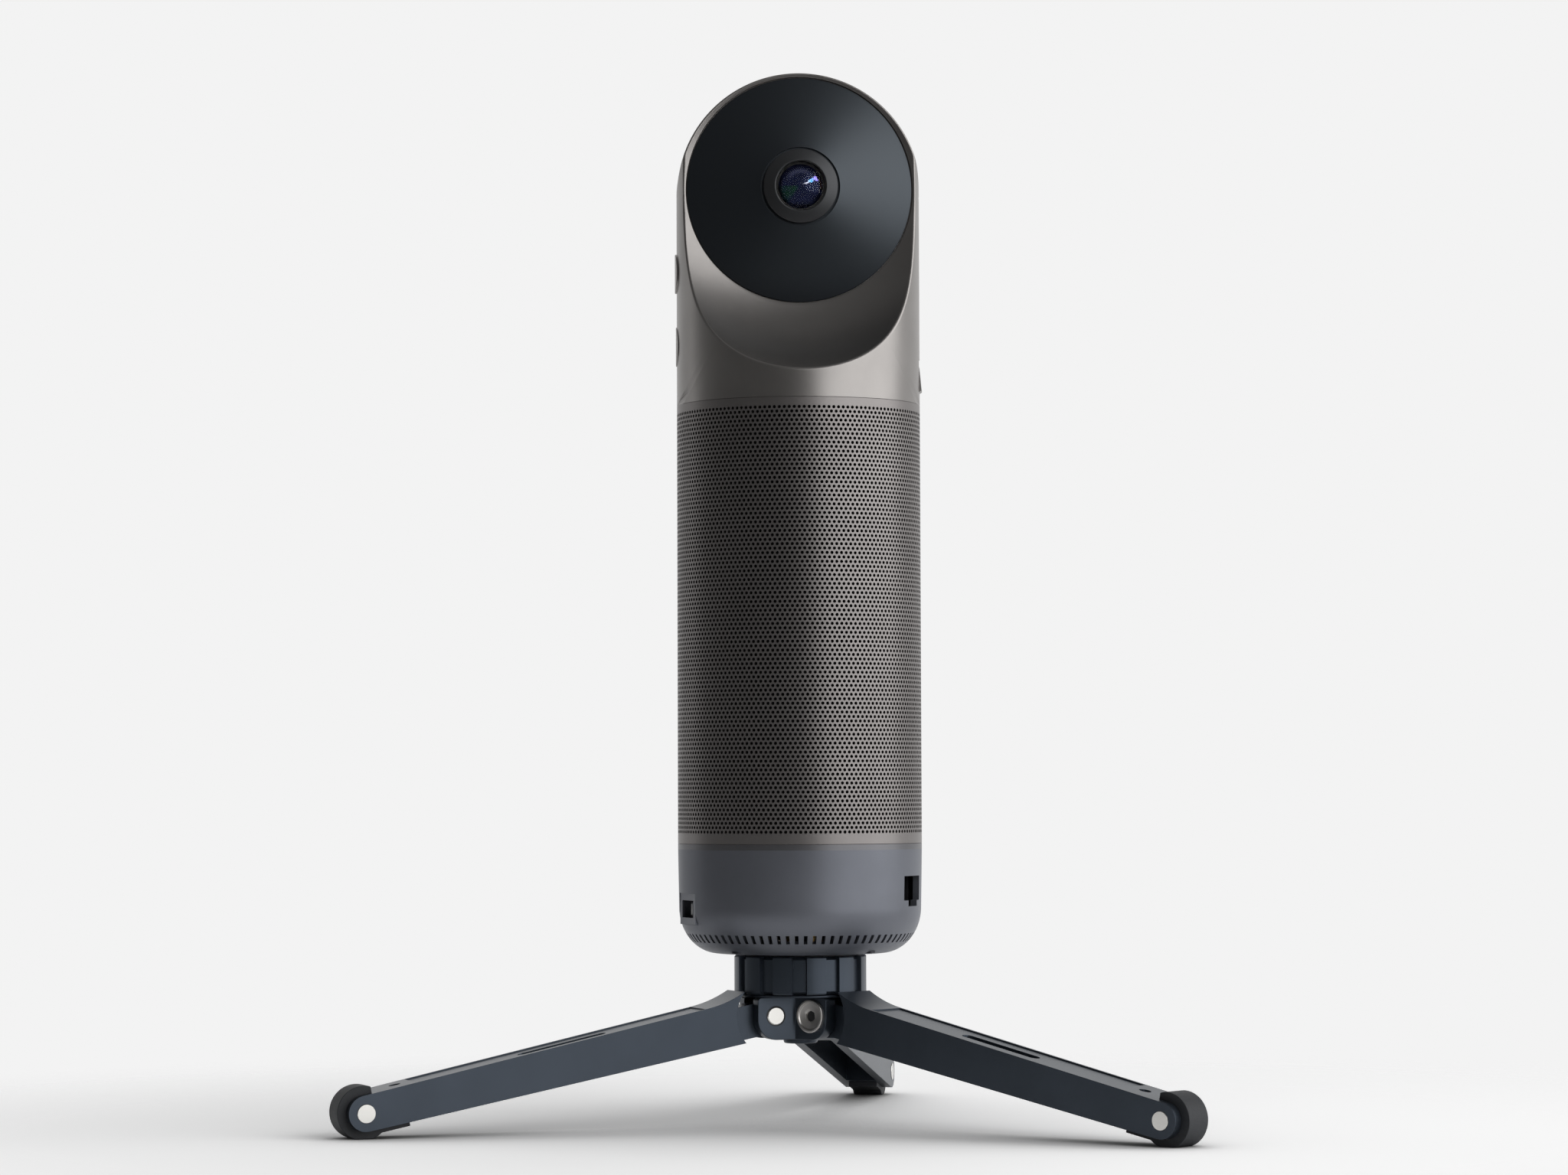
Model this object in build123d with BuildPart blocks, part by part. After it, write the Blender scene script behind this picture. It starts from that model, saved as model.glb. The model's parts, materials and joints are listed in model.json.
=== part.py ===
from build123d import *
import os
from math import asin, cos, degrees, radians, sin, sqrt

os.makedirs("parts", exist_ok=True)

# Two-lens 360 degree camera on a folding table tripod, in millimetres.
# The origin is on the camera's axis at table level, +Z is up and the front lens faces -Y.

# Clearances that every fit shares
seat_gap = 0.05
running_gap = 0.05
moving_gap = 0.3
overrun = 2.0

# Tripod
leg_count = 3
left_leg_azimuth = 197.8
leg_slope = 11.5
leg_length = 129.3
leg_width = 15.5
pivot_radius = 11.0

# Camera body
body_radius = 37.0
base_height = 31.4
trim_ring_height = 1.7
grille_height = 133.0
head_band_height = 8.603
shell_wall = 2.0

# Leg details
knuckle_radius = 5.5
knuckle_width = 7.6
knuckle_side_gap = 0.1
tongue_above = 4.6
tongue_below = 5.4
plate_relief_radius = 12.2
leg_above_at_hub = 7.1
leg_below_at_hub = 6.0
leg_flare_above = 9.2
leg_flare_length = 12.5
leg_end_radius = 5.3
leg_side_wall = 2.9
leg_top_wall = 2.4
pocket_start = 18.0
pocket_tip_gap = 17.3
top_plate_stop = 3.6
rail_width = 0.9
rail_height = 0.4
rail_start = 21.0
rail_tip_gap = 16.8
strap_slot_length = 28.0
strap_slot_width = 4.0
strap_slot_centre = 65.0
tip_hole_radius = 1.75
tip_hole_gap = 11.8

# Rubber foot
foot_radius = 8.0
foot_flat_depth = 0.4
foot_side_gap = 0.15
foot_low_arm = 13.0
foot_below_leg = 1.5
foot_pin_radius = 2.75
foot_pin_proud = 0.2

# Tripod hub, its stud and the three pivots
hub_arm_width = 16.6
hub_arm_end = 16.7
hub_drop = 7.2
hub_rise = 5.6
hub_corner_radius = 6.0
hub_top_fillet = 0.8
hub_boss_radius = 13.0
hub_boss_height = 0.8
pivot_pin_radius = 2.75
pivot_pin_proud = 0.3
pivot_screw_head_radius = 5.0
pivot_screw_head_height = 1.1
pivot_screw_dish_radius = 4.0
pivot_screw_dish_depth = 0.5
pivot_screw_shaft_radius = 1.5
pivot_screw_shaft_length = 7.0
pivot_socket_across = 2.6
pivot_socket_depth = 1.6
stud_radius = 3.175
stud_head_radius = 5.2
stud_head_height = 1.5
stud_socket_across = 4.0
stud_socket_depth = 1.2
stud_end_gap = 0.6
stud_chamfer = 0.8

# Locking collar
collar_radius = 20.1
collar_height = 11.4
collar_tooth_count = 12
collar_tooth_angle = 17.0
collar_tooth_turn = 11.5
collar_tooth_depth = 1.2
collar_edge_chamfer = 1.0
collar_tooth_chamfer = 0.4
collar_relief_outer = 15.5
collar_relief_inner = 7.5
collar_relief_depth = 6.5
pad_radius = 17.4
pad_thickness = 0.5

# Base of the camera
base_taper = 0.3
base_curve_width = 11.8
base_curve_height = 13.9
cover_height = 2.2
vent_count = 80
vent_width = 1.1
vent_low = 3.6
vent_high = 6.1
shelf_drop = 3.6
shelf_thickness = 1.8
shelf_width = 2.5
insert_radius = 5.5
insert_flange_radius = 8.5
insert_flange_height = 1.4
insert_top_gap = 0.1
board_thickness = 1.6
board_level = 6.7
board_reach = 6.1
boss_radius = 2.5
boss_inset = 2.9
cover_screw_reach = 3.1
cover_screw_radius = 0.9
cover_screw_head_radius = 1.7
cover_screw_head_height = 1.2
cover_screw_length = 4.6

# Ports round the base, by azimuth
ethernet_azimuth = 334.8
ethernet_width = 12.3
ethernet_low = 16.1
ethernet_high = 23.4
ethernet_notch_width = 6.8
ethernet_notch_height = 1.8
ethernet_block_width = 15.8
ethernet_block_top = 25.6
ethernet_block_depth = 15.5
ethernet_cavity_depth = 13.0
jack_face_inset = 4.6
usb_azimuth = 197.0
usb_recess_width = 14.4
usb_recess_low = 8.9
usb_recess_high = 18.35
usb_pocket_wall = 1.2
usb_width = 12.2
usb_low = 11.0
usb_high = 16.2
usb_block_width = 13.4
usb_block_depth = 14.0
usb_cavity_depth = 10.0
usb_tongue_width = 11.0
usb_tongue_thickness = 1.8
power_azimuth = 112.0
power_width = 8.9
power_height = 3.3
power_block_width = 10.2
power_block_depth = 9.0
power_cavity_depth = 6.5
power_tongue_width = 6.6
power_tongue_thickness = 0.7
rear_port_gap = 1.185
video_width = 14.6
video_height = 5.6
video_corner = 1.6
video_block_width = 16.2
video_block_depth = 11.5
video_cavity_depth = 9.0
video_tongue_width = 11.6
video_tongue_thickness = 1.6
rear_port_level = 12.0
port_face_inset = 3.4
port_face_drop = 1.6
port_shell = 0.6

# Grille and the frame behind it
grille_wall = 0.8
cloth_gap = 0.2
cloth_thickness = 0.8
frame_gap = 0.4
frame_ring_width = 7.8
frame_ring_height = 5.0
frame_post_width = 7.0
frame_post_depth = 3.4
frame_top_height = 4.0
frame_top_rise = 2.8
frame_wire_hole = 15.0
main_board_rise = 8.0
main_board_height = 65.0
main_board_offset = 2.0
sink_half_width = 20.0
sink_rise = 10.0
sink_height = 45.0
sink_base = 2.5
sink_fin_height = 13.0
sink_fin_thickness = 1.6
sink_fin_pitch = 6.4
sink_fin_count = 7
chamber_gap = 0.8
chamber_wall = 2.0
chamber_height = 45.0
basket_flange_height = 2.0
basket_rim_width = 4.1
basket_depth = 14.0
basket_wall = 1.2
magnet_radius = 14.5
magnet_height = 10.0
cone_depth = 9.0
cone_thickness = 0.5
cone_cap_radius = 8.0
microphone_count = 6
microphone_inset = 4.4
microphone_radius = 2.4
microphone_height = 1.6
microphone_board_gap = 2.0

# Head and lenses, by distance from the lens axis and from the middle plane
scoop_start_depth = 11.0
scoop_lip = 0.93
scoop_spread = 21.92
lens_rise = 1.37
scoop_arc_radius = 35.6
recess_depth = 9.8
ledge_thickness = 2.0
ledge_width = 2.4
lens_cover_gap = 0.7
lens_cover_wall = 1.6
lens_cover_hub_radius = 11.6
lens_cover_hub_depth = 19.4
lens_cover_hole_radius = 9.1
lens_ring_radius = 11.2
lens_ring_inner = 7.4
lens_ring_side = 1.0
lens_ring_depth = 21.8
glass_radius = 7.3
glass_edge_depth = 21.0
glass_top_depth = 23.4
barrel_radius = 8.9
barrel_base_radius = 10.6
barrel_step_depth = 10.0
barrel_front_depth = 19.2
sensor_board_half = 12.0
sensor_board_thickness = 1.2
sensor_half = 4.5
sensor_height = 1.4
sensor_well_radius = 9.0
bracket_thickness = 3.0
bracket_radius = 13.5
bracket_foot_gap = 1.7
bracket_foot_half_width = 8.0
bracket_foot_height = 2.0
head_boss_inset = 2.8
head_boss_radius = 3.0
head_boss_height = 7.0
head_screw_radius = 1.1
head_screw_head_radius = 2.0
head_screw_head_height = 1.4
head_screw_length = 8.0

# Side buttons, on the left, and the card flap, on the right
button_radius = 6.0
button_upper_rise = 40.4
button_lower_rise = 18.1
button_upper_proud = 0.55
button_lower_proud = 0.3
button_edge_fillet = 0.3
button_flange_radius = 7.0
button_flange_thickness = 1.0
button_flange_inset = 3.0
button_travel = 0.5
button_side_gap = 0.15
switch_radius = 1.8
switch_height = 1.4
switch_gap = 0.2
button_board_half_width = 7.0
button_board_rise = 5.4
button_board_height = 43.5
button_post_radius = 2.0
flap_half_width = 6.0
flap_rise = 4.0
flap_height = 10.0
flap_proud = 0.7
flap_thickness = 1.5
flap_gap = 0.2
flap_hinge_gap = 0.4
flap_pin_radius = 0.4
flap_pin_overlap = 0.8
card_socket_depth = 14.0
card_socket_half_width = 7.0
card_socket_rise = 10.1
card_slot_width = 11.4
card_slot_height = 1.0
card_slot_drop = 1.0
card_socket_back_wall = 2.0

# Radius of each scoop about the lens axis, at the cover's rim and at the body's surface
scoop_start_radius = sqrt(body_radius**2 - scoop_start_depth**2) - scoop_lip
scoop_end_radius = scoop_start_radius + scoop_spread

# Levels that follow from the sizes above
foot_pin_height = foot_radius - foot_flat_depth
pivot_height = foot_pin_height + leg_length * sin(radians(leg_slope))
hub_floor = pivot_height - hub_drop
hub_top = pivot_height + hub_rise
collar_floor = hub_top + hub_boss_height + moving_gap / 2
pad_floor = collar_floor + collar_height
body_floor = pad_floor + pad_thickness + moving_gap / 2
base_top = body_floor + base_height
grille_floor = base_top + trim_ring_height
head_floor = grille_floor + grille_height
lens_height = head_floor + head_band_height + scoop_end_radius
crown_height = lens_height - lens_rise
body_top = crown_height + body_radius
cover_top = body_floor + cover_height
board_floor = body_floor + board_level
board_top = board_floor + board_thickness
frame_floor = base_top - shelf_drop
frame_ring_top = frame_floor + frame_ring_height
frame_plate_top = head_floor + frame_top_rise
frame_plate_floor = frame_plate_top - frame_top_height

# Radii that follow from the body's radius
inner_radius = body_radius - shell_wall
frame_radius = inner_radius - frame_gap / 2
frame_post_inner = frame_radius - frame_post_depth
frame_ring_inner = frame_radius - frame_ring_width
chamber_radius = frame_post_inner - chamber_gap
basket_throat_radius = chamber_radius - basket_rim_width
microphone_board_radius = frame_post_inner - microphone_board_gap
head_boss_circle = inner_radius - head_boss_inset
base_low_radius = body_radius - base_taper
base_curve_start = base_low_radius - base_curve_width
board_radius = base_curve_start + board_reach
boss_circle = base_curve_start - boss_inset
cover_screw_circle = base_curve_start + cover_screw_reach
jack_face_radius = body_radius - jack_face_inset
port_face_radius = body_radius - port_face_inset
insert_height = board_level - insert_top_gap

# The video port sits beside the power port, with a gap between their inner ends
rear_port_spacing = (power_block_width + video_block_width) / 2 + rear_port_gap
rear_port_turn = 2 * degrees(asin(rear_port_spacing / 2 / (port_face_radius - power_block_depth)))
video_azimuth = power_azimuth - rear_port_turn


def lens_axis(side):
    """The lens axis, pointing out of the front face for side -1 and out of the rear face for side 1."""
    return Axis((0, 0, lens_height), (0, side, 0))


def lens_plane(side):
    """Half section of a lens: local x is the radius, local y the distance outward from the middle plane."""
    return Plane(origin=(0, 0, lens_height), x_dir=(1, 0, 0), z_dir=(0, 0, side))


def radial_plane(azimuth, radius, height):
    """A plane facing outward at an azimuth: local x is sideways, local y is up."""
    turn = radians(azimuth)
    outward = Vector(cos(turn), sin(turn), 0)
    sideways = Vector(-sin(turn), cos(turn), 0)
    return Plane(origin=outward * radius + Vector(0, 0, height), x_dir=sideways, z_dir=outward)


def arm_plane(azimuth, height):
    """The upright plane through an arm of the tripod: local x runs outward, local y is up."""
    turn = radians(azimuth)
    return Plane(
        origin=(0, 0, height),
        x_dir=(cos(turn), sin(turn), 0),
        z_dir=(sin(turn), -cos(turn), 0),
    )


def leg_plane(azimuth):
    """The upright plane through a leg: origin on its pivot, local x runs to the foot pin."""
    turn = radians(azimuth)
    slope = radians(leg_slope)
    return Plane(
        origin=(pivot_radius * cos(turn), pivot_radius * sin(turn), pivot_height),
        x_dir=(cos(turn) * cos(slope), sin(turn) * cos(slope), -sin(slope)),
        z_dir=(sin(turn), -cos(turn), 0),
    )


# Head shell: an upright cylinder with a round top, scooped out round both lenses and hollow inside.
# Each scoop is an arc turned about the lens axis, from the cover's recess out to the body's surface.
window_radius = scoop_start_radius - ledge_width
half_chord = sqrt(scoop_spread**2 + (body_radius - scoop_start_depth) ** 2) / 2
arc_offset = sqrt(scoop_arc_radius**2 - half_chord**2)
chord_radial = scoop_spread / (2 * half_chord)
chord_outward = (body_radius - scoop_start_depth) / (2 * half_chord)
scoop_centre_radius = (scoop_start_radius + scoop_end_radius) / 2 - arc_offset * chord_outward
scoop_centre_depth = (scoop_start_depth + body_radius) / 2 + arc_offset * chord_radial


def scoop_radius_at(depth, growth):
    """Distance from the lens axis of the scoop's curve at a depth, grown into the shell's wall."""
    reach = (scoop_arc_radius + growth) ** 2 - (depth - scoop_centre_depth) ** 2
    return scoop_centre_radius + sqrt(reach)


def scoop_depth_at(radius, growth):
    """Depth of the scoop's curve at a distance from the lens axis, grown into the shell's wall."""
    reach = (scoop_arc_radius + growth) ** 2 - (radius - scoop_centre_radius) ** 2
    return scoop_centre_depth - sqrt(reach)


def scoop_section(growth, floor_depth, lip_radius):
    """Half section of the space in front of a lens cover and its scoop."""
    end_depth = body_radius + overrun
    start = (lip_radius, scoop_depth_at(lip_radius, growth))
    end = (scoop_radius_at(end_depth, growth), end_depth)
    middle_depth = (start[1] + end_depth) / 2
    middle = (scoop_radius_at(middle_depth, growth), middle_depth)
    with BuildSketch() as section:
        with BuildLine():
            Polyline((0, floor_depth), (lip_radius, floor_depth), start)
            ThreePointArc(start, middle, end)
            Polyline(end, (0, end_depth), (0, floor_depth))
        make_face()
    return section.sketch


def round_topped(radius):
    """Front outline of the head: straight sides under a half circle, centred a little below the lens axis."""
    with Locations((0, crown_height)):
        Circle(radius)
    with Locations((0, (head_floor - overrun + crown_height) / 2)):
        Rectangle(2 * radius, crown_height - head_floor + overrun)


with BuildPart(mode=Mode.PRIVATE) as head_cavity:
    with BuildSketch(Plane.XY.offset(head_floor - overrun)):
        Circle(inner_radius)
    extrude(amount=body_top - head_floor + overrun)
    with BuildSketch(Plane.XZ):
        round_topped(inner_radius)
    extrude(amount=body_radius, both=True, mode=Mode.INTERSECT)
    for side in (-1, 1):
        with BuildSketch(lens_plane(side)):
            add(scoop_section(shell_wall, recess_depth - ledge_thickness, scoop_start_radius + shell_wall))
        revolve(axis=lens_axis(side), mode=Mode.SUBTRACT)
    with BuildSketch(Plane.XZ.offset(-recess_depth - overrun)):
        with Locations((0, lens_height)):
            Circle(window_radius)
    extrude(amount=2 * (recess_depth + overrun))

button_levels = {
    "button_upper": head_floor + button_upper_rise,
    "button_lower": head_floor + button_lower_rise,
}
button_proud = {"button_upper": button_upper_proud, "button_lower": button_lower_proud}
button_post_levels = [
    (button_levels["button_upper"] + button_levels["button_lower"]) / 2,
    button_levels["button_lower"] - button_flange_radius - button_post_radius - moving_gap,
]
button_back_radius = body_radius - button_flange_inset - button_flange_thickness
button_board_face = button_back_radius - button_travel - switch_gap - switch_height
flap_floor = head_floor + flap_rise
flap_top = flap_floor + flap_height
flap_inner_radius = body_radius - shell_wall + flap_gap
flap_axis_x = flap_inner_radius + flap_thickness / 2 - flap_gap
flap_axis_height = flap_top - flap_thickness / 2 - flap_hinge_gap
card_socket_face = flap_axis_x - flap_thickness / 2 - moving_gap
bracket_foot_half_length = card_socket_face - card_socket_depth - bracket_foot_gap

with BuildPart() as head_shell:
    with BuildSketch(Plane.XY.offset(head_floor)):
        Circle(body_radius)
    extrude(amount=body_top - head_floor)
    with BuildSketch(Plane.XZ):
        round_topped(body_radius)
    extrude(amount=body_radius, both=True, mode=Mode.INTERSECT)
    for side in (-1, 1):
        with BuildSketch(lens_plane(side)):
            add(scoop_section(0, recess_depth, scoop_start_radius))
        revolve(axis=lens_axis(side), mode=Mode.SUBTRACT)
    add(head_cavity.part, mode=Mode.SUBTRACT)
    # Screw bosses on the inner wall, cut to the wall's cylinder
    with BuildSketch(Plane.XY.offset(frame_plate_top)):
        with PolarLocations(head_boss_circle, 4, start_angle=45):
            Circle(head_boss_radius)
        Circle(inner_radius + shell_wall / 2, mode=Mode.INTERSECT)
        with PolarLocations(head_boss_circle, 4, start_angle=45):
            Circle(head_screw_radius, mode=Mode.SUBTRACT)
    extrude(amount=head_boss_height)
    # Posts that carry the button board
    for level in button_post_levels:
        with BuildSketch(Plane.YZ.offset(-button_board_face)):
            with Locations((0, level)):
                Circle(button_post_radius)
        extrude(amount=-(inner_radius + shell_wall / 2 - button_board_face))
    for level in button_levels.values():
        with BuildSketch(Plane.YZ.offset(-body_radius - overrun)):
            with Locations((0, level)):
                Circle(button_radius + button_side_gap)
        extrude(amount=shell_wall + 2 * overrun, mode=Mode.SUBTRACT)
    # Opening for the card flap and the blind holes for its pin
    with BuildSketch(Plane.YZ.offset(body_radius - shell_wall - overrun)):
        with Locations((0, (flap_floor + flap_top) / 2)):
            Rectangle(2 * (flap_half_width + flap_gap), flap_top - flap_floor)
    extrude(amount=shell_wall + 2 * overrun, mode=Mode.SUBTRACT)
    with BuildSketch(Plane.XZ):
        with Locations((flap_axis_x, flap_axis_height)):
            Circle(flap_pin_radius + running_gap)
    extrude(amount=flap_half_width + flap_gap + flap_pin_overlap, both=True, mode=Mode.SUBTRACT)
head_shell.part.label = "head_shell"
export_step(head_shell.part, "parts/head_shell.step")

# Lens covers, bezels, glasses, barrels and sensors, one set on each face
lens_cover_radius = scoop_start_radius - lens_cover_gap
ring_middle_radius = (lens_ring_radius + lens_ring_inner) / 2
glass_rise = glass_top_depth - glass_edge_depth
glass_sphere = (glass_radius**2 + glass_rise**2) / (2 * glass_rise)
glass_shoulder = glass_radius / sqrt(2)
shoulder_depth = glass_top_depth - glass_sphere + sqrt(glass_sphere**2 - glass_shoulder**2)
sensor_face_depth = bracket_thickness / 2 + sensor_board_thickness
for side, face in ((-1, "front"), (1, "rear")):
    with BuildPart() as lens_cover:
        with BuildSketch(lens_plane(side)):
            with BuildLine():
                Polyline(
                    (lens_cover_hole_radius, lens_cover_hub_depth),
                    (lens_cover_hub_radius, lens_cover_hub_depth),
                    (lens_cover_radius, scoop_start_depth),
                    (lens_cover_radius, recess_depth),
                    (window_radius - lens_cover_wall, recess_depth),
                    (lens_cover_hub_radius, lens_cover_hub_depth - lens_cover_wall),
                    (lens_cover_hole_radius, lens_cover_hub_depth - lens_cover_wall),
                    close=True,
                )
            make_face()
        revolve(axis=lens_axis(side))
    lens_cover.part.label = f"lens_cover_{face}"
    export_step(lens_cover.part, f"parts/lens_cover_{face}.step")

    with BuildPart() as lens_ring:
        with BuildSketch(lens_plane(side)):
            with BuildLine():
                Polyline(
                    (lens_ring_inner, lens_ring_depth - lens_ring_side),
                    (lens_ring_inner, lens_cover_hub_depth),
                    (lens_ring_radius, lens_cover_hub_depth),
                    (lens_ring_radius, lens_cover_hub_depth + lens_ring_side),
                )
                ThreePointArc(
                    (lens_ring_radius, lens_cover_hub_depth + lens_ring_side),
                    (ring_middle_radius, lens_ring_depth - lens_ring_side / 4),
                    (lens_ring_inner, lens_ring_depth - lens_ring_side),
                )
            make_face()
        revolve(axis=lens_axis(side))
    lens_ring.part.label = f"lens_ring_{face}"
    export_step(lens_ring.part, f"parts/lens_ring_{face}.step")

    with BuildPart() as lens_glass:
        with BuildSketch(lens_plane(side)):
            with BuildLine():
                Line((0, barrel_front_depth), (0, glass_top_depth))
                ThreePointArc(
                    (0, glass_top_depth),
                    (glass_shoulder, shoulder_depth),
                    (glass_radius, glass_edge_depth),
                )
                Polyline(
                    (glass_radius, glass_edge_depth),
                    (glass_radius, barrel_front_depth),
                    (0, barrel_front_depth),
                )
            make_face()
        revolve(axis=lens_axis(side))
    lens_glass.part.label = f"lens_glass_{face}"
    export_step(lens_glass.part, f"parts/lens_glass_{face}.step")

    with BuildPart() as lens_barrel:
        with BuildSketch(lens_plane(side)):
            with BuildLine():
                Polyline(
                    (0, sensor_face_depth + sensor_height),
                    (0, barrel_front_depth),
                    (barrel_radius, barrel_front_depth),
                    (barrel_radius, barrel_step_depth),
                    (barrel_base_radius, barrel_step_depth),
                    (barrel_base_radius, sensor_face_depth),
                    (sensor_well_radius, sensor_face_depth),
                    (sensor_well_radius, sensor_face_depth + sensor_height),
                    close=True,
                )
            make_face()
        revolve(axis=lens_axis(side))
    lens_barrel.part.label = f"lens_barrel_{face}"
    export_step(lens_barrel.part, f"parts/lens_barrel_{face}.step")

    with BuildPart() as sensor_board:
        with BuildSketch(Plane.XZ.offset(-side * bracket_thickness / 2)):
            with Locations((0, lens_height)):
                RectangleRounded(2 * sensor_board_half, 2 * sensor_board_half, sensor_board_thickness)
        extrude(amount=-side * sensor_board_thickness)
        with BuildSketch(Plane.XZ.offset(-side * sensor_face_depth)):
            with Locations((0, lens_height)):
                Rectangle(2 * sensor_half, 2 * sensor_half)
        extrude(amount=-side * (sensor_height - seat_gap))
    sensor_board.part.label = f"sensor_board_{face}"
    export_step(sensor_board.part, f"parts/sensor_board_{face}.step")

# Bracket that holds both lens units back to back on the frame
with BuildPart() as lens_bracket:
    with BuildSketch(Plane.XZ.offset(-bracket_thickness / 2)):
        with Locations((0, lens_height)):
            Circle(bracket_radius)
        with Locations((0, (frame_plate_top + lens_height) / 2)):
            Rectangle(2 * bracket_radius, lens_height - frame_plate_top)
        with Locations((0, (frame_plate_top + lens_height - bracket_radius) / 2)):
            SlotOverall(bracket_radius * 2, bracket_radius / 2, rotation=90, mode=Mode.SUBTRACT)
    extrude(amount=bracket_thickness)
    with BuildSketch(Plane.XY.offset(frame_plate_top)):
        RectangleRounded(2 * bracket_foot_half_length, 2 * bracket_foot_half_width, bracket_foot_height)
    extrude(amount=bracket_foot_height)
lens_bracket.part.label = "lens_bracket"
export_step(lens_bracket.part, "parts/lens_bracket.step")

# Push buttons on the left side, each with a flange behind the wall
for name, level in button_levels.items():
    with BuildPart() as button:
        with BuildSketch(Plane.YZ.offset(-body_radius + button_flange_inset)):
            with Locations((0, level)):
                Circle(button_radius)
        extrude(amount=-(button_flange_inset + button_proud[name]))
        fillet(button.faces().sort_by(Axis.X)[0].edges(), button_edge_fillet)
        with BuildSketch(Plane.YZ.offset(-body_radius + button_flange_inset)):
            with Locations((0, level)):
                Circle(button_flange_radius)
        extrude(amount=button_flange_thickness)
    button.part.label = name
    export_step(button.part, f"parts/{name}.step")

# Switch board behind the buttons
with BuildPart() as button_board:
    with BuildSketch(Plane.YZ.offset(-button_board_face)):
        with Locations((0, head_floor + button_board_rise + button_board_height / 2)):
            Rectangle(2 * button_board_half_width, button_board_height)
    extrude(amount=board_thickness)
    for level in button_levels.values():
        with BuildSketch(Plane.YZ.offset(-button_board_face)):
            with Locations((0, level)):
                Circle(switch_radius)
        extrude(amount=-switch_height)
button_board.part.label = "button_board"
export_step(button_board.part, "parts/button_board.step")

# Card flap: flush at its hinged top, with a finger lip that stands proud at the bottom
with BuildPart() as card_flap:
    with BuildSketch(Plane.XZ):
        with BuildLine():
            Polyline(
                (0, flap_floor + flap_gap),
                (body_radius + flap_proud, flap_floor + flap_gap),
                (body_radius, flap_axis_height - flap_thickness),
                (flap_axis_x + flap_thickness / 2, flap_axis_height),
                (flap_axis_x + flap_thickness / 2, flap_top),
                (0, flap_top),
                close=True,
            )
        make_face()
    revolve(axis=Axis.Z)
    with BuildSketch(Plane.XZ):
        with Locations((flap_axis_x, flap_axis_height)):
            Circle(flap_thickness / 2)
        with BuildLine():
            Polyline(
                (flap_axis_x - flap_thickness / 2, flap_axis_height),
                (flap_axis_x - flap_thickness / 2, flap_floor),
                (body_radius + overrun, flap_floor),
                (body_radius + overrun, flap_axis_height),
                close=True,
            )
        make_face()
        with Locations((flap_axis_x, flap_axis_height)):
            Circle(flap_pin_radius + running_gap, mode=Mode.SUBTRACT)
    extrude(amount=flap_half_width, both=True, mode=Mode.INTERSECT)
card_flap.part.label = "card_flap"
export_step(card_flap.part, "parts/card_flap.step")

with BuildPart() as flap_pin:
    with BuildSketch(Plane.XZ):
        with Locations((flap_axis_x, flap_axis_height)):
            Circle(flap_pin_radius)
    extrude(amount=flap_half_width + flap_gap + flap_pin_overlap - seat_gap, both=True)
flap_pin.part.label = "flap_pin"
export_step(flap_pin.part, "parts/flap_pin.step")

# Memory card socket behind the flap
card_socket_top = head_floor + card_socket_rise
card_slot_level = card_socket_top - card_slot_drop - card_slot_height
with BuildPart() as card_socket:
    with BuildSketch(Plane.XY.offset(frame_plate_top)):
        with Locations((card_socket_face - card_socket_depth / 2, 0)):
            Rectangle(card_socket_depth, 2 * card_socket_half_width)
        Circle(frame_radius - seat_gap, mode=Mode.INTERSECT)
    extrude(amount=card_socket_top - frame_plate_top)
    with BuildSketch(Plane.YZ.offset(card_socket_face - card_socket_depth + card_socket_back_wall)):
        with Locations((0, card_slot_level)):
            Rectangle(card_slot_width, card_slot_height)
    extrude(amount=card_socket_depth, mode=Mode.SUBTRACT)
card_socket.part.label = "card_socket"
export_step(card_socket.part, "parts/card_socket.step")

# Frame behind the grille: a ring on the base, four posts and a top plate that carries the head
with BuildPart() as inner_frame:
    with BuildSketch(Plane.XY.offset(frame_floor)):
        Circle(frame_radius)
        Circle(frame_ring_inner, mode=Mode.SUBTRACT)
    extrude(amount=frame_ring_height)
    with BuildSketch(Plane.XY.offset(frame_ring_top)):
        with PolarLocations(frame_radius - frame_post_depth / 2, 4):
            Rectangle(frame_post_depth, frame_post_width)
        Circle(frame_radius, mode=Mode.INTERSECT)
    extrude(amount=frame_plate_floor - frame_ring_top)
    with BuildSketch(Plane.XY.offset(frame_plate_floor)):
        Circle(frame_radius)
        Circle(frame_wire_hole, mode=Mode.SUBTRACT)
        with PolarLocations(head_boss_circle, 4, start_angle=45):
            Circle(head_screw_radius + seat_gap, mode=Mode.SUBTRACT)
    extrude(amount=frame_top_height)
inner_frame.part.label = "inner_frame"
export_step(inner_frame.part, "parts/inner_frame.step")

with BuildPart() as head_screws:
    with BuildSketch(Plane.XY.offset(frame_plate_floor)):
        with PolarLocations(head_boss_circle, 4, start_angle=45):
            Circle(head_screw_head_radius)
    extrude(amount=-head_screw_head_height)
    with BuildSketch(Plane.XY.offset(frame_plate_floor)):
        with PolarLocations(head_boss_circle, 4, start_angle=45):
            Circle(head_screw_radius - seat_gap)
    extrude(amount=head_screw_length)
head_screws.part.label = "head_screws"
export_step(head_screws.part, "parts/head_screws.step")

# Microphone ring under the frame's top plate
with BuildPart() as microphone_board:
    with BuildSketch(Plane.XY.offset(frame_plate_floor - board_thickness)):
        Circle(microphone_board_radius)
        Circle(frame_wire_hole, mode=Mode.SUBTRACT)
    extrude(amount=board_thickness)
    with BuildSketch(Plane.XY.offset(frame_plate_floor - board_thickness)):
        with PolarLocations(microphone_board_radius - microphone_inset, microphone_count, start_angle=30):
            Circle(microphone_radius)
    extrude(amount=-microphone_height)
microphone_board.part.label = "microphone_board"
export_step(microphone_board.part, "parts/microphone_board.step")

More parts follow.
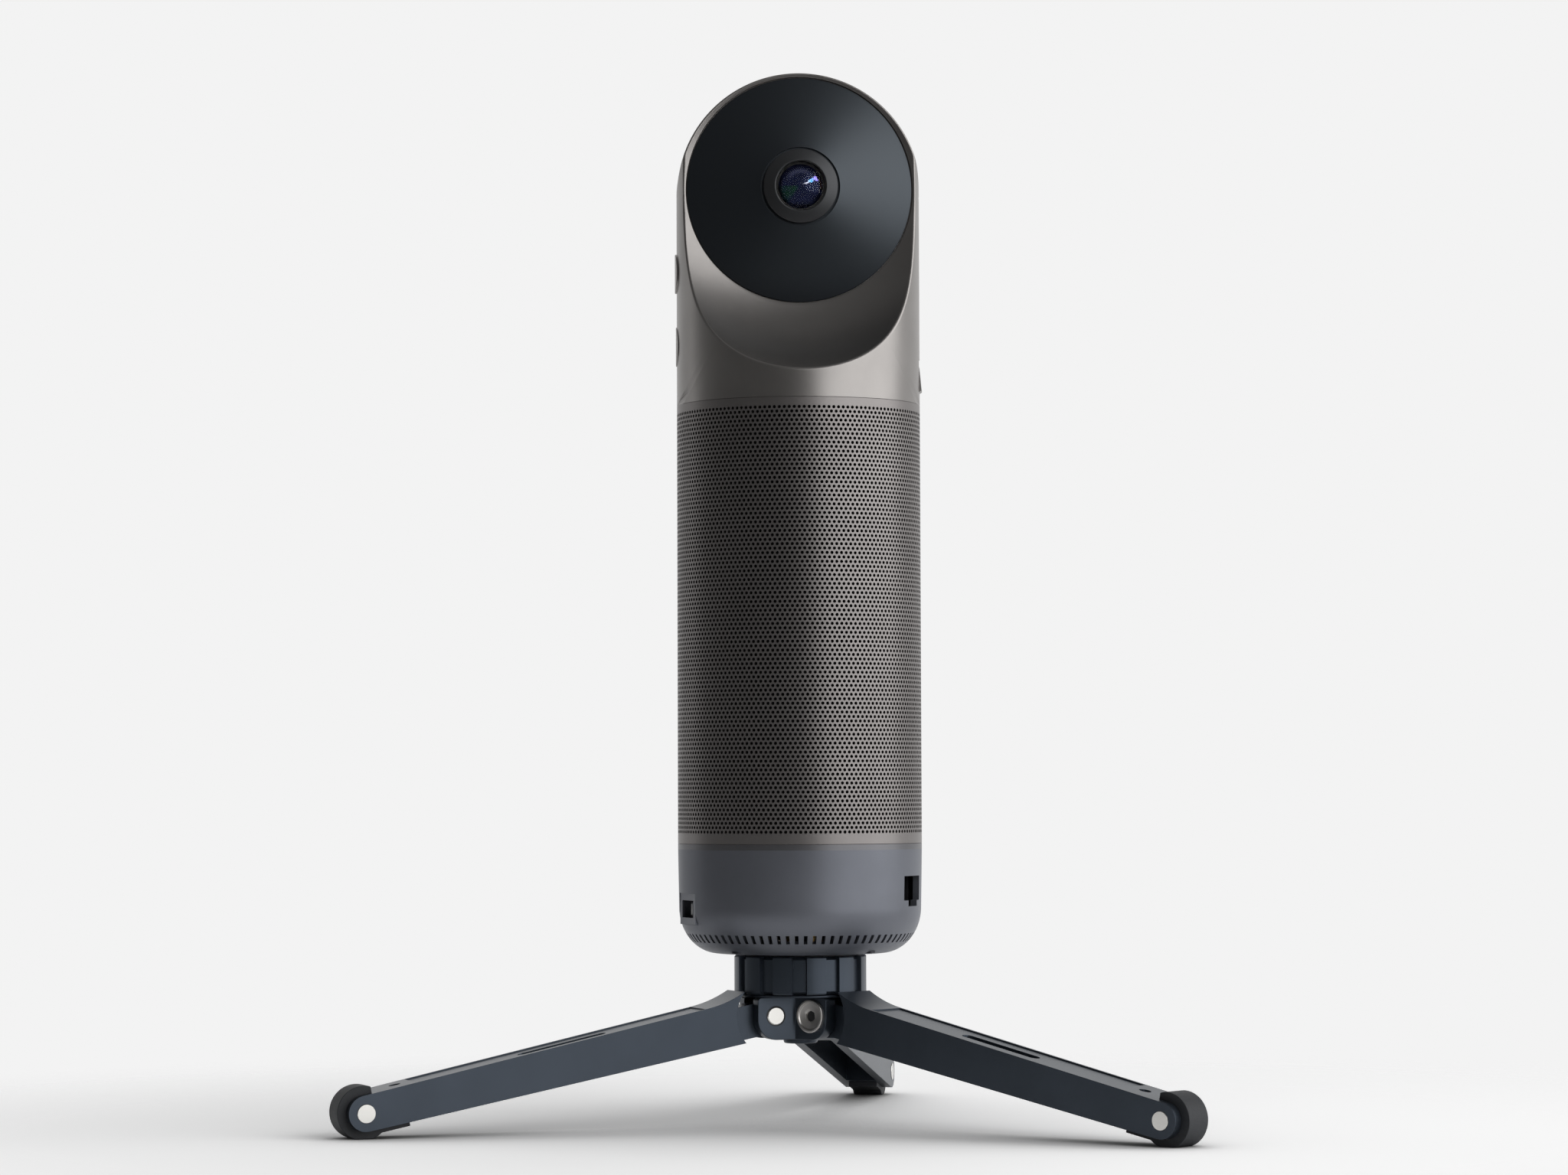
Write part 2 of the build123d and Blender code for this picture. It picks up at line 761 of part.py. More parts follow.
# Perforated steel sleeve, here without its holes, over a sleeve of acoustic cloth
with BuildPart() as grille_sleeve:
    with BuildSketch(Plane.XY.offset(grille_floor)):
        Circle(body_radius)
        Circle(body_radius - grille_wall, mode=Mode.SUBTRACT)
    extrude(amount=grille_height)
grille_sleeve.part.label = "grille_sleeve"
export_step(grille_sleeve.part, "parts/grille_sleeve.step")

cloth_radius = body_radius - grille_wall - cloth_gap
with BuildPart() as acoustic_cloth:
    with BuildSketch(Plane.XY.offset(grille_floor)):
        Circle(cloth_radius)
        Circle(cloth_radius - cloth_thickness, mode=Mode.SUBTRACT)
    extrude(amount=grille_height)
acoustic_cloth.part.label = "acoustic_cloth"
export_step(acoustic_cloth.part, "parts/acoustic_cloth.step")

# Main board between two posts, with a finned heat sink on it
chamber_top = frame_ring_top + chamber_height
cone_rim = chamber_top + basket_flange_height
main_board_floor = cone_rim + main_board_rise
with BuildPart() as main_board:
    with BuildSketch(Plane.XZ.offset(-main_board_offset)):
        with Locations((0, main_board_floor + main_board_height / 2)):
            Rectangle(2 * (frame_post_inner - seat_gap), main_board_height)
    extrude(amount=-board_thickness)
main_board.part.label = "main_board"
export_step(main_board.part, "parts/main_board.step")

sink_face = main_board_offset + board_thickness
with BuildPart() as heat_sink:
    with BuildSketch(Plane.XY.offset(main_board_floor + sink_rise)):
        with Locations((0, sink_face + sink_base / 2)):
            Rectangle(2 * sink_half_width, sink_base)
        with Locations((0, sink_face + sink_base + sink_fin_height / 2)):
            with GridLocations(sink_fin_pitch, 0, sink_fin_count, 1):
                Rectangle(sink_fin_thickness, sink_fin_height)
    extrude(amount=sink_height)
heat_sink.part.label = "heat_sink"
export_step(heat_sink.part, "parts/heat_sink.step")

# Loudspeaker: a closed chamber on the frame's ring, with the driver facing up
with BuildPart() as speaker_chamber:
    with BuildSketch(Plane.XY.offset(frame_ring_top)):
        Circle(chamber_radius)
    extrude(amount=chamber_height)
    with BuildSketch(Plane.XY.offset(frame_ring_top + chamber_wall)):
        Circle(chamber_radius - chamber_wall)
    extrude(amount=chamber_height, mode=Mode.SUBTRACT)
speaker_chamber.part.label = "speaker_chamber"
export_step(speaker_chamber.part, "parts/speaker_chamber.step")

basket_floor = chamber_top - basket_depth
with BuildPart() as speaker_basket:
    with BuildSketch(Plane.XZ):
        with BuildLine():
            Polyline(
                (basket_throat_radius, chamber_top + basket_flange_height),
                (chamber_radius, chamber_top + basket_flange_height),
                (chamber_radius, chamber_top),
                (basket_throat_radius + basket_wall, chamber_top),
                (magnet_radius + basket_wall, basket_floor),
                (cone_cap_radius, basket_floor),
                (cone_cap_radius, basket_floor + basket_wall),
                (magnet_radius, basket_floor + basket_wall),
                (basket_throat_radius, chamber_top),
                close=True,
            )
        make_face()
    revolve(axis=Axis.Z)
speaker_basket.part.label = "speaker_basket"
export_step(speaker_basket.part, "parts/speaker_basket.step")

with BuildPart() as speaker_magnet:
    with BuildSketch(Plane.XY.offset(basket_floor)):
        Circle(magnet_radius)
    extrude(amount=-magnet_height)
    with BuildSketch(Plane.XY.offset(basket_floor)):
        Circle(cone_cap_radius - moving_gap)
    extrude(amount=basket_wall)
speaker_magnet.part.label = "speaker_magnet"
export_step(speaker_magnet.part, "parts/speaker_magnet.step")

with BuildPart() as speaker_cone:
    with BuildSketch(Plane.XZ):
        with BuildLine():
            Polyline(
                (0, cone_rim - cone_depth),
                (cone_cap_radius, cone_rim - cone_depth),
                (basket_throat_radius - seat_gap, cone_rim - cone_thickness),
                (basket_throat_radius - seat_gap, cone_rim),
                (cone_cap_radius, cone_rim - cone_depth + cone_thickness),
                (0, cone_rim - cone_depth + cone_thickness),
                close=True,
            )
        make_face()
    revolve(axis=Axis.Z)
speaker_cone.part.label = "speaker_cone"
export_step(speaker_cone.part, "parts/speaker_cone.step")

# Ring between the grille and the base
with BuildPart() as trim_ring:
    with BuildSketch(Plane.XY.offset(base_top)):
        Circle(body_radius)
        Circle(inner_radius, mode=Mode.SUBTRACT)
    extrude(amount=trim_ring_height)
trim_ring.part.label = "trim_ring"
export_step(trim_ring.part, "parts/trim_ring.step")


def base_section(growth, floor, top):
    """Half section of the base: a tapered wall that turns under in a quarter ellipse."""
    curve_level = body_floor + base_curve_height
    corner_width = base_curve_width - growth
    corner_height = base_curve_height - growth
    with BuildSketch() as section:
        with BuildLine():
            Line((0, floor), (base_curve_start, floor))
            EllipticalCenterArc((base_curve_start, curve_level), corner_width, corner_height, start_angle=270)
            Polyline(
                (base_curve_start + corner_width, curve_level),
                (body_radius - growth, top),
                (0, top),
                (0, floor),
            )
        make_face()
    return section.sketch


def port_plane(azimuth, radius):
    """A plane facing outward at a port, with its origin on the body's floor level."""
    return radial_plane(azimuth, radius, body_floor)


def rear_slot(width, height, corner):
    """Mouth of a rear port, centred on the rear ports' level."""
    with Locations((0, rear_port_level)):
        RectangleRounded(width, height, corner)


# Walls of the pocket round the USB port, which reach half way into the shell's wall
with BuildPart(mode=Mode.PRIVATE) as usb_pocket:
    with BuildSketch(Plane.XZ):
        add(base_section(shell_wall / 2, body_floor + shell_wall / 2, base_top))
    revolve(axis=Axis.Z)
    with BuildSketch(port_plane(usb_azimuth, jack_face_radius - usb_pocket_wall)):
        with Locations((0, (usb_recess_low + usb_recess_high) / 2)):
            Rectangle(
                usb_recess_width + 2 * usb_pocket_wall,
                usb_recess_high - usb_recess_low + 2 * usb_pocket_wall,
            )
    extrude(amount=body_radius, mode=Mode.INTERSECT)

# Base shell, open at the top, with its ports, vents and the shelf that carries the frame
with BuildPart() as base_shell:
    with BuildSketch(Plane.XZ):
        add(base_section(0, body_floor, base_top))
    revolve(axis=Axis.Z)
    with BuildSketch(Plane.XZ):
        add(base_section(shell_wall, body_floor + shell_wall, base_top))
    revolve(axis=Axis.Z, mode=Mode.SUBTRACT)
    with BuildSketch(Plane.XY.offset(frame_floor - shelf_thickness)):
        Circle(body_radius - shell_wall / 2)
        Circle(inner_radius - shelf_width, mode=Mode.SUBTRACT)
    extrude(amount=shelf_thickness)
    with BuildSketch(Plane.XY.offset(cover_top)):
        Circle(body_radius + overrun)
    extrude(amount=-cover_height - overrun, mode=Mode.SUBTRACT)
    with BuildSketch(Plane.XY.offset(body_floor + vent_low)):
        with PolarLocations(base_low_radius - shell_wall, vent_count):
            Rectangle(2 * (shell_wall + overrun), vent_width)
    extrude(amount=vent_high - vent_low, mode=Mode.SUBTRACT)
    with BuildSketch(port_plane(ethernet_azimuth, jack_face_radius)):
        with Locations((0, (ethernet_low + ethernet_high) / 2)):
            Rectangle(ethernet_width, ethernet_high - ethernet_low)
        with Locations((0, ethernet_low - ethernet_notch_height / 2)):
            Rectangle(ethernet_notch_width, ethernet_notch_height)
    extrude(amount=body_radius + overrun - jack_face_radius, mode=Mode.SUBTRACT)
    add(usb_pocket.part)
    with BuildSketch(port_plane(usb_azimuth, jack_face_radius)):
        with Locations((0, (usb_recess_low + usb_recess_high) / 2)):
            Rectangle(usb_recess_width, usb_recess_high - usb_recess_low)
    extrude(amount=body_radius + overrun - jack_face_radius, mode=Mode.SUBTRACT)
    with BuildSketch(port_plane(usb_azimuth, jack_face_radius + overrun)):
        with Locations((0, (usb_low + usb_high) / 2)):
            Rectangle(usb_block_width + 2 * seat_gap, usb_high - usb_low + 2 * (port_shell + seat_gap))
    extrude(amount=-usb_pocket_wall - 2 * overrun, mode=Mode.SUBTRACT)
    with BuildSketch(port_plane(power_azimuth, port_face_radius - port_face_drop)):
        rear_slot(power_width + 2 * port_shell, power_height + 2 * port_shell, power_height / 2)
    extrude(amount=body_radius + overrun - port_face_radius + port_face_drop, mode=Mode.SUBTRACT)
    with BuildSketch(port_plane(video_azimuth, port_face_radius - port_face_drop)):
        rear_slot(video_width + 2 * port_shell, video_height + 2 * port_shell, video_corner)
    extrude(amount=body_radius + overrun - port_face_radius + port_face_drop, mode=Mode.SUBTRACT)
    # Bosses for the cover's screws, which also carry the connector board
    with BuildSketch(Plane.XY.offset(cover_top)):
        with PolarLocations(cover_screw_circle, 4, start_angle=45):
            Circle(boss_radius)
    extrude(amount=board_floor - cover_top)
    with BuildSketch(Plane.XY.offset(cover_top)):
        with PolarLocations(cover_screw_circle, 4, start_angle=45):
            Circle(cover_screw_radius + seat_gap)
    extrude(amount=cover_screw_length, mode=Mode.SUBTRACT)
base_shell.part.label = "base_shell"
export_step(base_shell.part, "parts/base_shell.step")

# Bottom cover, screwed up against the shell's inner lip, with bosses for the connector board
with BuildPart() as bottom_cover:
    with BuildSketch(Plane.XZ):
        add(base_section(0, body_floor, base_top))
    revolve(axis=Axis.Z)
    with BuildSketch(Plane.XY.offset(cover_top)):
        Circle(body_radius + overrun)
    extrude(amount=base_height, mode=Mode.SUBTRACT)
    with BuildSketch(Plane.XY.offset(cover_top)):
        with PolarLocations(boss_circle, 4):
            Circle(boss_radius)
    extrude(amount=board_floor - cover_top)
    with BuildSketch(Plane.XY.offset(body_floor)):
        Circle(insert_radius + seat_gap)
    extrude(amount=cover_height, mode=Mode.SUBTRACT)
    with BuildSketch(Plane.XY.offset(cover_top)):
        with PolarLocations(cover_screw_circle, 4, start_angle=45):
            Circle(cover_screw_radius + seat_gap)
    extrude(amount=-cover_height, mode=Mode.SUBTRACT)
    with BuildSketch(Plane.XY.offset(cover_top - cover_height / 2)):
        with PolarLocations(cover_screw_circle, 4, start_angle=45):
            Circle(cover_screw_head_radius + seat_gap)
    extrude(amount=-cover_height, mode=Mode.SUBTRACT)
bottom_cover.part.label = "bottom_cover"
export_step(bottom_cover.part, "parts/bottom_cover.step")

with BuildPart() as cover_screws:
    with BuildSketch(Plane.XY.offset(cover_top - cover_height / 2)):
        with PolarLocations(cover_screw_circle, 4, start_angle=45):
            Circle(cover_screw_radius)
    extrude(amount=cover_screw_length)
    with BuildSketch(Plane.XY.offset(cover_top - cover_height / 2)):
        with PolarLocations(cover_screw_circle, 4, start_angle=45):
            Circle(cover_screw_head_radius)
    extrude(amount=-cover_screw_head_height / 2)
cover_screws.part.label = "cover_screws"
export_step(cover_screws.part, "parts/cover_screws.step")

# Threaded bush in the bottom, and the connector board with its four ports
with BuildPart() as tripod_insert:
    with BuildSketch(Plane.XY.offset(body_floor)):
        Circle(insert_radius)
    extrude(amount=insert_height)
    with BuildSketch(Plane.XY.offset(cover_top)):
        Circle(insert_flange_radius)
    extrude(amount=insert_flange_height)
    with BuildSketch(Plane.XY.offset(body_floor)):
        Circle(stud_radius + running_gap)
    extrude(amount=insert_height, mode=Mode.SUBTRACT)
tripod_insert.part.label = "tripod_insert"
export_step(tripod_insert.part, "parts/tripod_insert.step")

with BuildPart() as connector_board:
    with BuildSketch(Plane.XY.offset(board_floor)):
        Circle(board_radius)
    extrude(amount=board_thickness)
connector_board.part.label = "connector_board"
export_step(connector_board.part, "parts/connector_board.step")

board_top_level = board_top - body_floor

with BuildPart() as ethernet_jack:
    with BuildSketch(port_plane(ethernet_azimuth, jack_face_radius)):
        with Locations((0, (board_top_level + ethernet_block_top) / 2)):
            Rectangle(ethernet_block_width, ethernet_block_top - board_top_level)
    extrude(amount=-ethernet_block_depth)
    with BuildSketch(port_plane(ethernet_azimuth, jack_face_radius)):
        with Locations((0, (ethernet_low + ethernet_high) / 2)):
            Rectangle(ethernet_width, ethernet_high - ethernet_low)
        with Locations((0, ethernet_low - ethernet_notch_height / 2)):
            Rectangle(ethernet_notch_width, ethernet_notch_height)
    extrude(amount=-ethernet_cavity_depth, mode=Mode.SUBTRACT)
ethernet_jack.part.label = "ethernet_jack"
export_step(ethernet_jack.part, "parts/ethernet_jack.step")

with BuildPart() as usb_port:
    with BuildSketch(port_plane(usb_azimuth, jack_face_radius - usb_pocket_wall - seat_gap)):
        with Locations((0, (board_top_level + usb_high + port_shell) / 2)):
            Rectangle(usb_block_width, usb_high + port_shell - board_top_level)
    extrude(amount=usb_pocket_wall - usb_block_depth)
    # Metal mouth that reaches through the pocket's wall
    with BuildSketch(port_plane(usb_azimuth, jack_face_radius)):
        with Locations((0, (usb_low + usb_high) / 2)):
            Rectangle(usb_block_width, usb_high - usb_low + 2 * port_shell)
    extrude(amount=-usb_block_depth / 2)
    with BuildSketch(port_plane(usb_azimuth, jack_face_radius)):
        with Locations((0, (usb_low + usb_high) / 2)):
            Rectangle(usb_width, usb_high - usb_low)
        with Locations((0, usb_high - usb_tongue_thickness)):
            Rectangle(usb_tongue_width, usb_tongue_thickness, mode=Mode.SUBTRACT)
    extrude(amount=-usb_cavity_depth, mode=Mode.SUBTRACT)
usb_port.part.label = "usb_port"
export_step(usb_port.part, "parts/usb_port.step")

with BuildPart() as power_port:
    with BuildSketch(port_plane(power_azimuth, port_face_radius)):
        rear_slot(
            power_width + 2 * port_shell - seat_gap,
            power_height + 2 * port_shell - seat_gap,
            power_height / 2,
        )
    extrude(amount=-power_block_depth)
    with BuildSketch(port_plane(power_azimuth, port_face_radius - power_block_depth)):
        with Locations((0, (board_top_level + rear_port_level) / 2)):
            Rectangle(power_block_width, rear_port_level - board_top_level)
    extrude(amount=power_block_depth - port_face_drop - shell_wall)
    with BuildSketch(port_plane(power_azimuth, port_face_radius)):
        rear_slot(power_width, power_height, power_height / 2 - seat_gap)
        with Locations((0, rear_port_level)):
            Rectangle(power_tongue_width, power_tongue_thickness, mode=Mode.SUBTRACT)
    extrude(amount=-power_cavity_depth, mode=Mode.SUBTRACT)
power_port.part.label = "power_port"
export_step(power_port.part, "parts/power_port.step")

with BuildPart() as video_port:
    with BuildSketch(port_plane(video_azimuth, port_face_radius)):
        rear_slot(
            video_width + 2 * port_shell - seat_gap,
            video_height + 2 * port_shell - seat_gap,
            video_corner,
        )
    extrude(amount=-video_block_depth)
    with BuildSketch(port_plane(video_azimuth, port_face_radius - video_block_depth)):
        with Locations((0, (board_top_level + rear_port_level) / 2)):
            Rectangle(video_block_width, rear_port_level - board_top_level)
    extrude(amount=video_block_depth - port_face_drop - shell_wall)
    with BuildSketch(port_plane(video_azimuth, port_face_radius)):
        rear_slot(video_width, video_height, video_corner - port_shell)
        with Locations((0, rear_port_level)):
            Rectangle(video_tongue_width, video_tongue_thickness, mode=Mode.SUBTRACT)
    extrude(amount=-video_cavity_depth, mode=Mode.SUBTRACT)
video_port.part.label = "video_port"
export_step(video_port.part, "parts/video_port.step")

# Locking collar: a toothed knob with a relief underneath, and the friction pad on top of it
with BuildPart(mode=Mode.PRIVATE) as collar_teeth:
    with BuildSketch(Plane.XY.offset(collar_floor)):
        Circle(collar_radius)
    extrude(amount=collar_height)
    chamfer(collar_teeth.edges().filter_by(GeomType.CIRCLE), collar_tooth_chamfer)
    with BuildSketch(Plane.XY.offset(collar_floor)):
        with PolarLocations(collar_radius, collar_tooth_count, start_angle=collar_tooth_turn):
            Rectangle(
                2 * (collar_tooth_depth + collar_edge_chamfer),
                2 * collar_radius * sin(radians(collar_tooth_angle / 2)),
            )
    extrude(amount=collar_height, mode=Mode.INTERSECT)

collar_root_radius = collar_radius - collar_tooth_depth
with BuildPart() as locking_collar:
    with BuildSketch(Plane.XY.offset(collar_floor)):
        Circle(collar_root_radius)
    extrude(amount=collar_height)
    chamfer(locking_collar.edges().filter_by(GeomType.CIRCLE), collar_edge_chamfer)
    add(collar_teeth.part)
    with BuildSketch(Plane.XY.offset(collar_floor)):
        Circle(collar_relief_outer)
        Circle(collar_relief_inner, mode=Mode.SUBTRACT)
    extrude(amount=collar_relief_depth, mode=Mode.SUBTRACT)
    with BuildSketch(Plane.XY.offset(collar_floor)):
        Circle(stud_radius + running_gap)
    extrude(amount=collar_height, mode=Mode.SUBTRACT)
locking_collar.part.label = "locking_collar"
export_step(locking_collar.part, "parts/locking_collar.step")

with BuildPart() as collar_pad:
    with BuildSketch(Plane.XY.offset(pad_floor)):
        Circle(pad_radius)
        Circle(stud_radius + moving_gap, mode=Mode.SUBTRACT)
    extrude(amount=pad_thickness)
collar_pad.part.label = "collar_pad"
export_step(collar_pad.part, "parts/collar_pad.step")

# Tripod hub: three forked arms round the stud, with a boss under the collar
leg_azimuths = [left_leg_azimuth + index * 360 / leg_count for index in range(leg_count)]
slot_width = knuckle_width + 2 * knuckle_side_gap
slot_start = pivot_radius - knuckle_radius - moving_gap
pivot_bore = pivot_pin_radius + running_gap
hub_half_width = hub_arm_width / 2

with BuildPart() as tripod_hub:
    for azimuth in leg_azimuths:
        with BuildSketch(arm_plane(azimuth, hub_floor)):
            with BuildLine():
                Line((0, 0), (hub_arm_end - hub_corner_radius, 0))
                CenterArc((hub_arm_end - hub_corner_radius, hub_corner_radius), hub_corner_radius, 270, 90)
                Polyline(
                    (hub_arm_end, hub_corner_radius),
                    (hub_arm_end, hub_drop + hub_rise - hub_top_fillet),
                    (hub_arm_end - hub_top_fillet, hub_drop + hub_rise),
                    (0, hub_drop + hub_rise),
                    (0, 0),
                )
            make_face()
        extrude(amount=hub_half_width, both=True)
    with BuildSketch(Plane.XY.offset(hub_top)):
        Circle(hub_boss_radius)
    extrude(amount=hub_boss_height)
    with BuildSketch(Plane.XY.offset(hub_floor - overrun)):
        for azimuth in leg_azimuths:
            with PolarLocations((slot_start + hub_arm_end + overrun) / 2, 1, start_angle=azimuth):
                Rectangle(hub_arm_end + overrun - slot_start, slot_width)
    extrude(amount=hub_drop + hub_rise + hub_boss_height + 2 * overrun, mode=Mode.SUBTRACT)
    for azimuth in leg_azimuths:
        with BuildSketch(leg_plane(azimuth)):
            Circle(pivot_bore)
        extrude(amount=hub_half_width + overrun, both=True, mode=Mode.SUBTRACT)
    with BuildSketch(Plane.XY.offset(hub_floor)):
        Circle(stud_radius + seat_gap)
    extrude(amount=hub_drop + hub_rise + hub_boss_height, mode=Mode.SUBTRACT)
tripod_hub.part.label = "tripod_hub"
export_step(tripod_hub.part, "parts/tripod_hub.step")

with BuildPart() as tripod_stud:
    with BuildSketch(Plane.XY.offset(hub_floor)):
        Circle(stud_head_radius)
    extrude(amount=-stud_head_height)
    fillet(tripod_stud.edges().sort_by(Axis.Z)[0], stud_head_height / 2)
    with BuildSketch(Plane.XY.offset(hub_floor)):
        Circle(stud_radius)
    extrude(amount=body_floor + insert_height - stud_end_gap - hub_floor)
    chamfer(tripod_stud.edges().sort_by(Axis.Z)[-1], stud_chamfer)
    with BuildSketch(Plane.XY.offset(hub_floor - stud_head_height)):
        RegularPolygon(stud_socket_across / 2, 6, major_radius=False)
    extrude(amount=stud_socket_depth, mode=Mode.SUBTRACT)
tripod_stud.part.label = "tripod_stud"
export_step(tripod_stud.part, "parts/tripod_stud.step")


def leg_outline():
    """Side view of a leg: it hollows round the hub, flares up to the collar and ends round the foot pin."""
    flare_start = sqrt(plate_relief_radius**2 - leg_flare_above**2)
    low_start = sqrt(plate_relief_radius**2 - leg_below_at_hub**2)
    flare_end = flare_start + leg_flare_length
    fall = (leg_above_at_hub - leg_end_radius) / leg_length
    flare_end_above = leg_above_at_hub - fall * flare_end
    with BuildSketch() as outline:
        with BuildLine():
            ThreePointArc(
                (low_start, -leg_below_at_hub),
                (plate_relief_radius, 0),
                (flare_start, leg_flare_above),
            )
            TangentArc((flare_end, flare_end_above), (flare_start, leg_flare_above), tangent=(-1, fall))
            Line((flare_end, flare_end_above), (leg_length, leg_end_radius))
            ThreePointArc(
                (leg_length, leg_end_radius),
                (leg_length + leg_end_radius, 0),
                (leg_length, -leg_end_radius),
            )
            Line((leg_length, -leg_end_radius), (low_start, -leg_below_at_hub))
        make_face()
    return outline.sketch


def leg_top_at(distance):
    """Height of the leg's straight top edge above its centre line."""
    return leg_above_at_hub - (leg_above_at_hub - leg_end_radius) * distance / leg_length


pocket_half_width = leg_width / 2 - leg_side_wall
pocket_end = leg_length - pocket_tip_gap
rail_end = leg_length - rail_tip_gap
foot_half_width = pocket_half_width - foot_side_gap
foot_start = leg_length - foot_low_arm
fork_start = foot_start - seat_gap
plate_stop = leg_length - top_plate_stop

for index, azimuth in enumerate(leg_azimuths, start=1):
    side_plane = leg_plane(azimuth)
    top_plane = Plane(origin=side_plane.origin, x_dir=side_plane.x_dir, z_dir=side_plane.y_dir)

    with BuildPart() as leg:
        with BuildSketch(side_plane):
            add(leg_outline())
        extrude(amount=leg_width / 2, both=True)
        # Knuckle and tongue that turn between the hub's ears
        with BuildSketch(side_plane):
            Circle(knuckle_radius)
            with BuildLine():
                Polyline(
                    (0, tongue_above),
                    (plate_relief_radius + leg_side_wall, tongue_above),
                    (plate_relief_radius + leg_side_wall, -tongue_below),
                    (0, -tongue_below),
                    close=True,
                )
            make_face()
        extrude(amount=knuckle_width / 2, both=True)
        with BuildSketch(side_plane):
            Circle(pivot_bore)
        extrude(amount=knuckle_width, both=True, mode=Mode.SUBTRACT)
        # Pocket along the underside and the fork round the rubber foot
        with BuildSketch(side_plane):
            with BuildLine():
                Polyline(
                    (pocket_start, -leg_width),
                    (pocket_start, leg_top_at(pocket_start) - leg_top_wall),
                    (pocket_end, leg_top_at(pocket_end) - leg_top_wall),
                    (pocket_end, -leg_width),
                    close=True,
                )
            make_face()
            with BuildLine():
                Polyline(
                    (fork_start, -leg_width),
                    (fork_start, leg_top_at(fork_start) - leg_top_wall),
                    (plate_stop, leg_top_at(plate_stop) - leg_top_wall),
                    (plate_stop, leg_width),
                    (leg_length + leg_width, leg_width),
                    (leg_length + leg_width, -leg_width),
                    close=True,
                )
            make_face()
        extrude(amount=pocket_half_width, both=True, mode=Mode.SUBTRACT)
        # Shallow channel between the top rails, the strap slot and the hole near the tip
        with BuildSketch(side_plane):
            with BuildLine():
                Polyline(
                    (rail_start, leg_top_at(rail_start) - rail_height),
                    (rail_start, leg_width),
                    (rail_end, leg_width),
                    (rail_end, leg_top_at(rail_end) - rail_height),
                    close=True,
                )
            make_face()
        extrude(amount=leg_width / 2 - rail_width, both=True, mode=Mode.SUBTRACT)
        with BuildSketch(top_plane):
            with Locations((strap_slot_centre, 0)):
                SlotOverall(strap_slot_length, strap_slot_width)
            with Locations((leg_length - tip_hole_gap, 0)):
                Circle(tip_hole_radius)
        extrude(amount=leg_width, mode=Mode.SUBTRACT)
        with BuildSketch(side_plane):
            with Locations((leg_length, 0)):
                Circle(foot_pin_radius + seat_gap)
        extrude(amount=leg_width, both=True, mode=Mode.SUBTRACT)
    leg.part.label = f"leg_{index}"
    export_step(leg.part, f"parts/leg_{index}.step")

    with BuildPart() as foot:
        with BuildSketch(side_plane):
            with Locations((leg_length, 0)):
                Circle(foot_radius)
            with BuildLine():
                Polyline(
                    (foot_start, -leg_end_radius - foot_below_leg),
                    (foot_start, leg_top_at(foot_start) - leg_top_wall - seat_gap),
                    (plate_stop + seat_gap, leg_top_at(plate_stop) - leg_top_wall - seat_gap),
                    (plate_stop + seat_gap, leg_end_radius),
                    (leg_length, leg_end_radius),
                    (leg_length, -leg_end_radius - foot_below_leg),
                    close=True,
                )
            make_face()
            with Locations((plate_stop + seat_gap - foot_radius, foot_radius)):
                Rectangle(
                    2 * foot_radius,
                    2 * (foot_radius - leg_top_at(plate_stop) + leg_top_wall + seat_gap),
                    mode=Mode.SUBTRACT,
                )
            with Locations((leg_length, 0)):
                Circle(foot_pin_radius + seat_gap, mode=Mode.SUBTRACT)
        extrude(amount=foot_half_width, both=True)
        # Flat patch that stands on the table
        with BuildSketch(Plane.XY):
            Circle(leg_length + pivot_radius + leg_width)
        extrude(amount=-foot_radius, mode=Mode.SUBTRACT)
    foot.part.label = f"foot_{index}"
    export_step(foot.part, f"parts/foot_{index}.step")

    with BuildPart() as foot_pin:
        with BuildSketch(side_plane):
            with Locations((leg_length, 0)):
                Circle(foot_pin_radius)
        extrude(amount=leg_width / 2 + foot_pin_proud, both=True)
        chamfer(foot_pin.edges().filter_by(GeomType.CIRCLE), foot_pin_proud / 2)
    foot_pin.part.label = f"foot_pin_{index}"
    export_step(foot_pin.part, f"parts/foot_pin_{index}.step")

    # Pivot: a polished barrel through the ears and knuckle, closed by a dished screw
    head_plane = side_plane.offset(hub_half_width)
    outward_axis = Axis(head_plane.origin, head_plane.z_dir)
    with BuildPart() as pivot_barrel:
        with BuildSketch(side_plane.offset(-hub_half_width - pivot_pin_proud)):
            Circle(pivot_pin_radius)
        extrude(amount=hub_arm_width + pivot_pin_proud)
        chamfer(pivot_barrel.edges().filter_by(GeomType.CIRCLE), pivot_pin_proud)
        with BuildSketch(head_plane):
            Circle(pivot_screw_shaft_radius + seat_gap)
        extrude(amount=-pivot_screw_shaft_length - moving_gap, mode=Mode.SUBTRACT)
    pivot_barrel.part.label = f"pivot_barrel_{index}"
    export_step(pivot_barrel.part, f"parts/pivot_barrel_{index}.step")

    with BuildPart() as pivot_screw:
        with BuildSketch(head_plane):
            Circle(pivot_screw_head_radius)
        extrude(amount=pivot_screw_head_height)
        outer_rim = pivot_screw.edges().filter_by(GeomType.CIRCLE).sort_by(outward_axis)[-1]
        chamfer(outer_rim, pivot_screw_head_height / 3)
        with BuildSketch(head_plane.offset(pivot_screw_head_height)):
            Circle(pivot_screw_dish_radius)
        extrude(amount=-pivot_screw_dish_depth, mode=Mode.SUBTRACT)
        with BuildSketch(head_plane):
            Circle(pivot_screw_shaft_radius)
        extrude(amount=-pivot_screw_shaft_length)
        with BuildSketch(head_plane.offset(pivot_screw_head_height)):
            RegularPolygon(pivot_socket_across / 2, 6, major_radius=False)
        extrude(amount=-pivot_socket_depth, mode=Mode.SUBTRACT)
    pivot_screw.part.label = f"pivot_screw_{index}"
    export_step(pivot_screw.part, f"parts/pivot_screw_{index}.step")
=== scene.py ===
"""Looks of a two-lens 360 degree camera on a table tripod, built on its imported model. Metres, +Z up."""

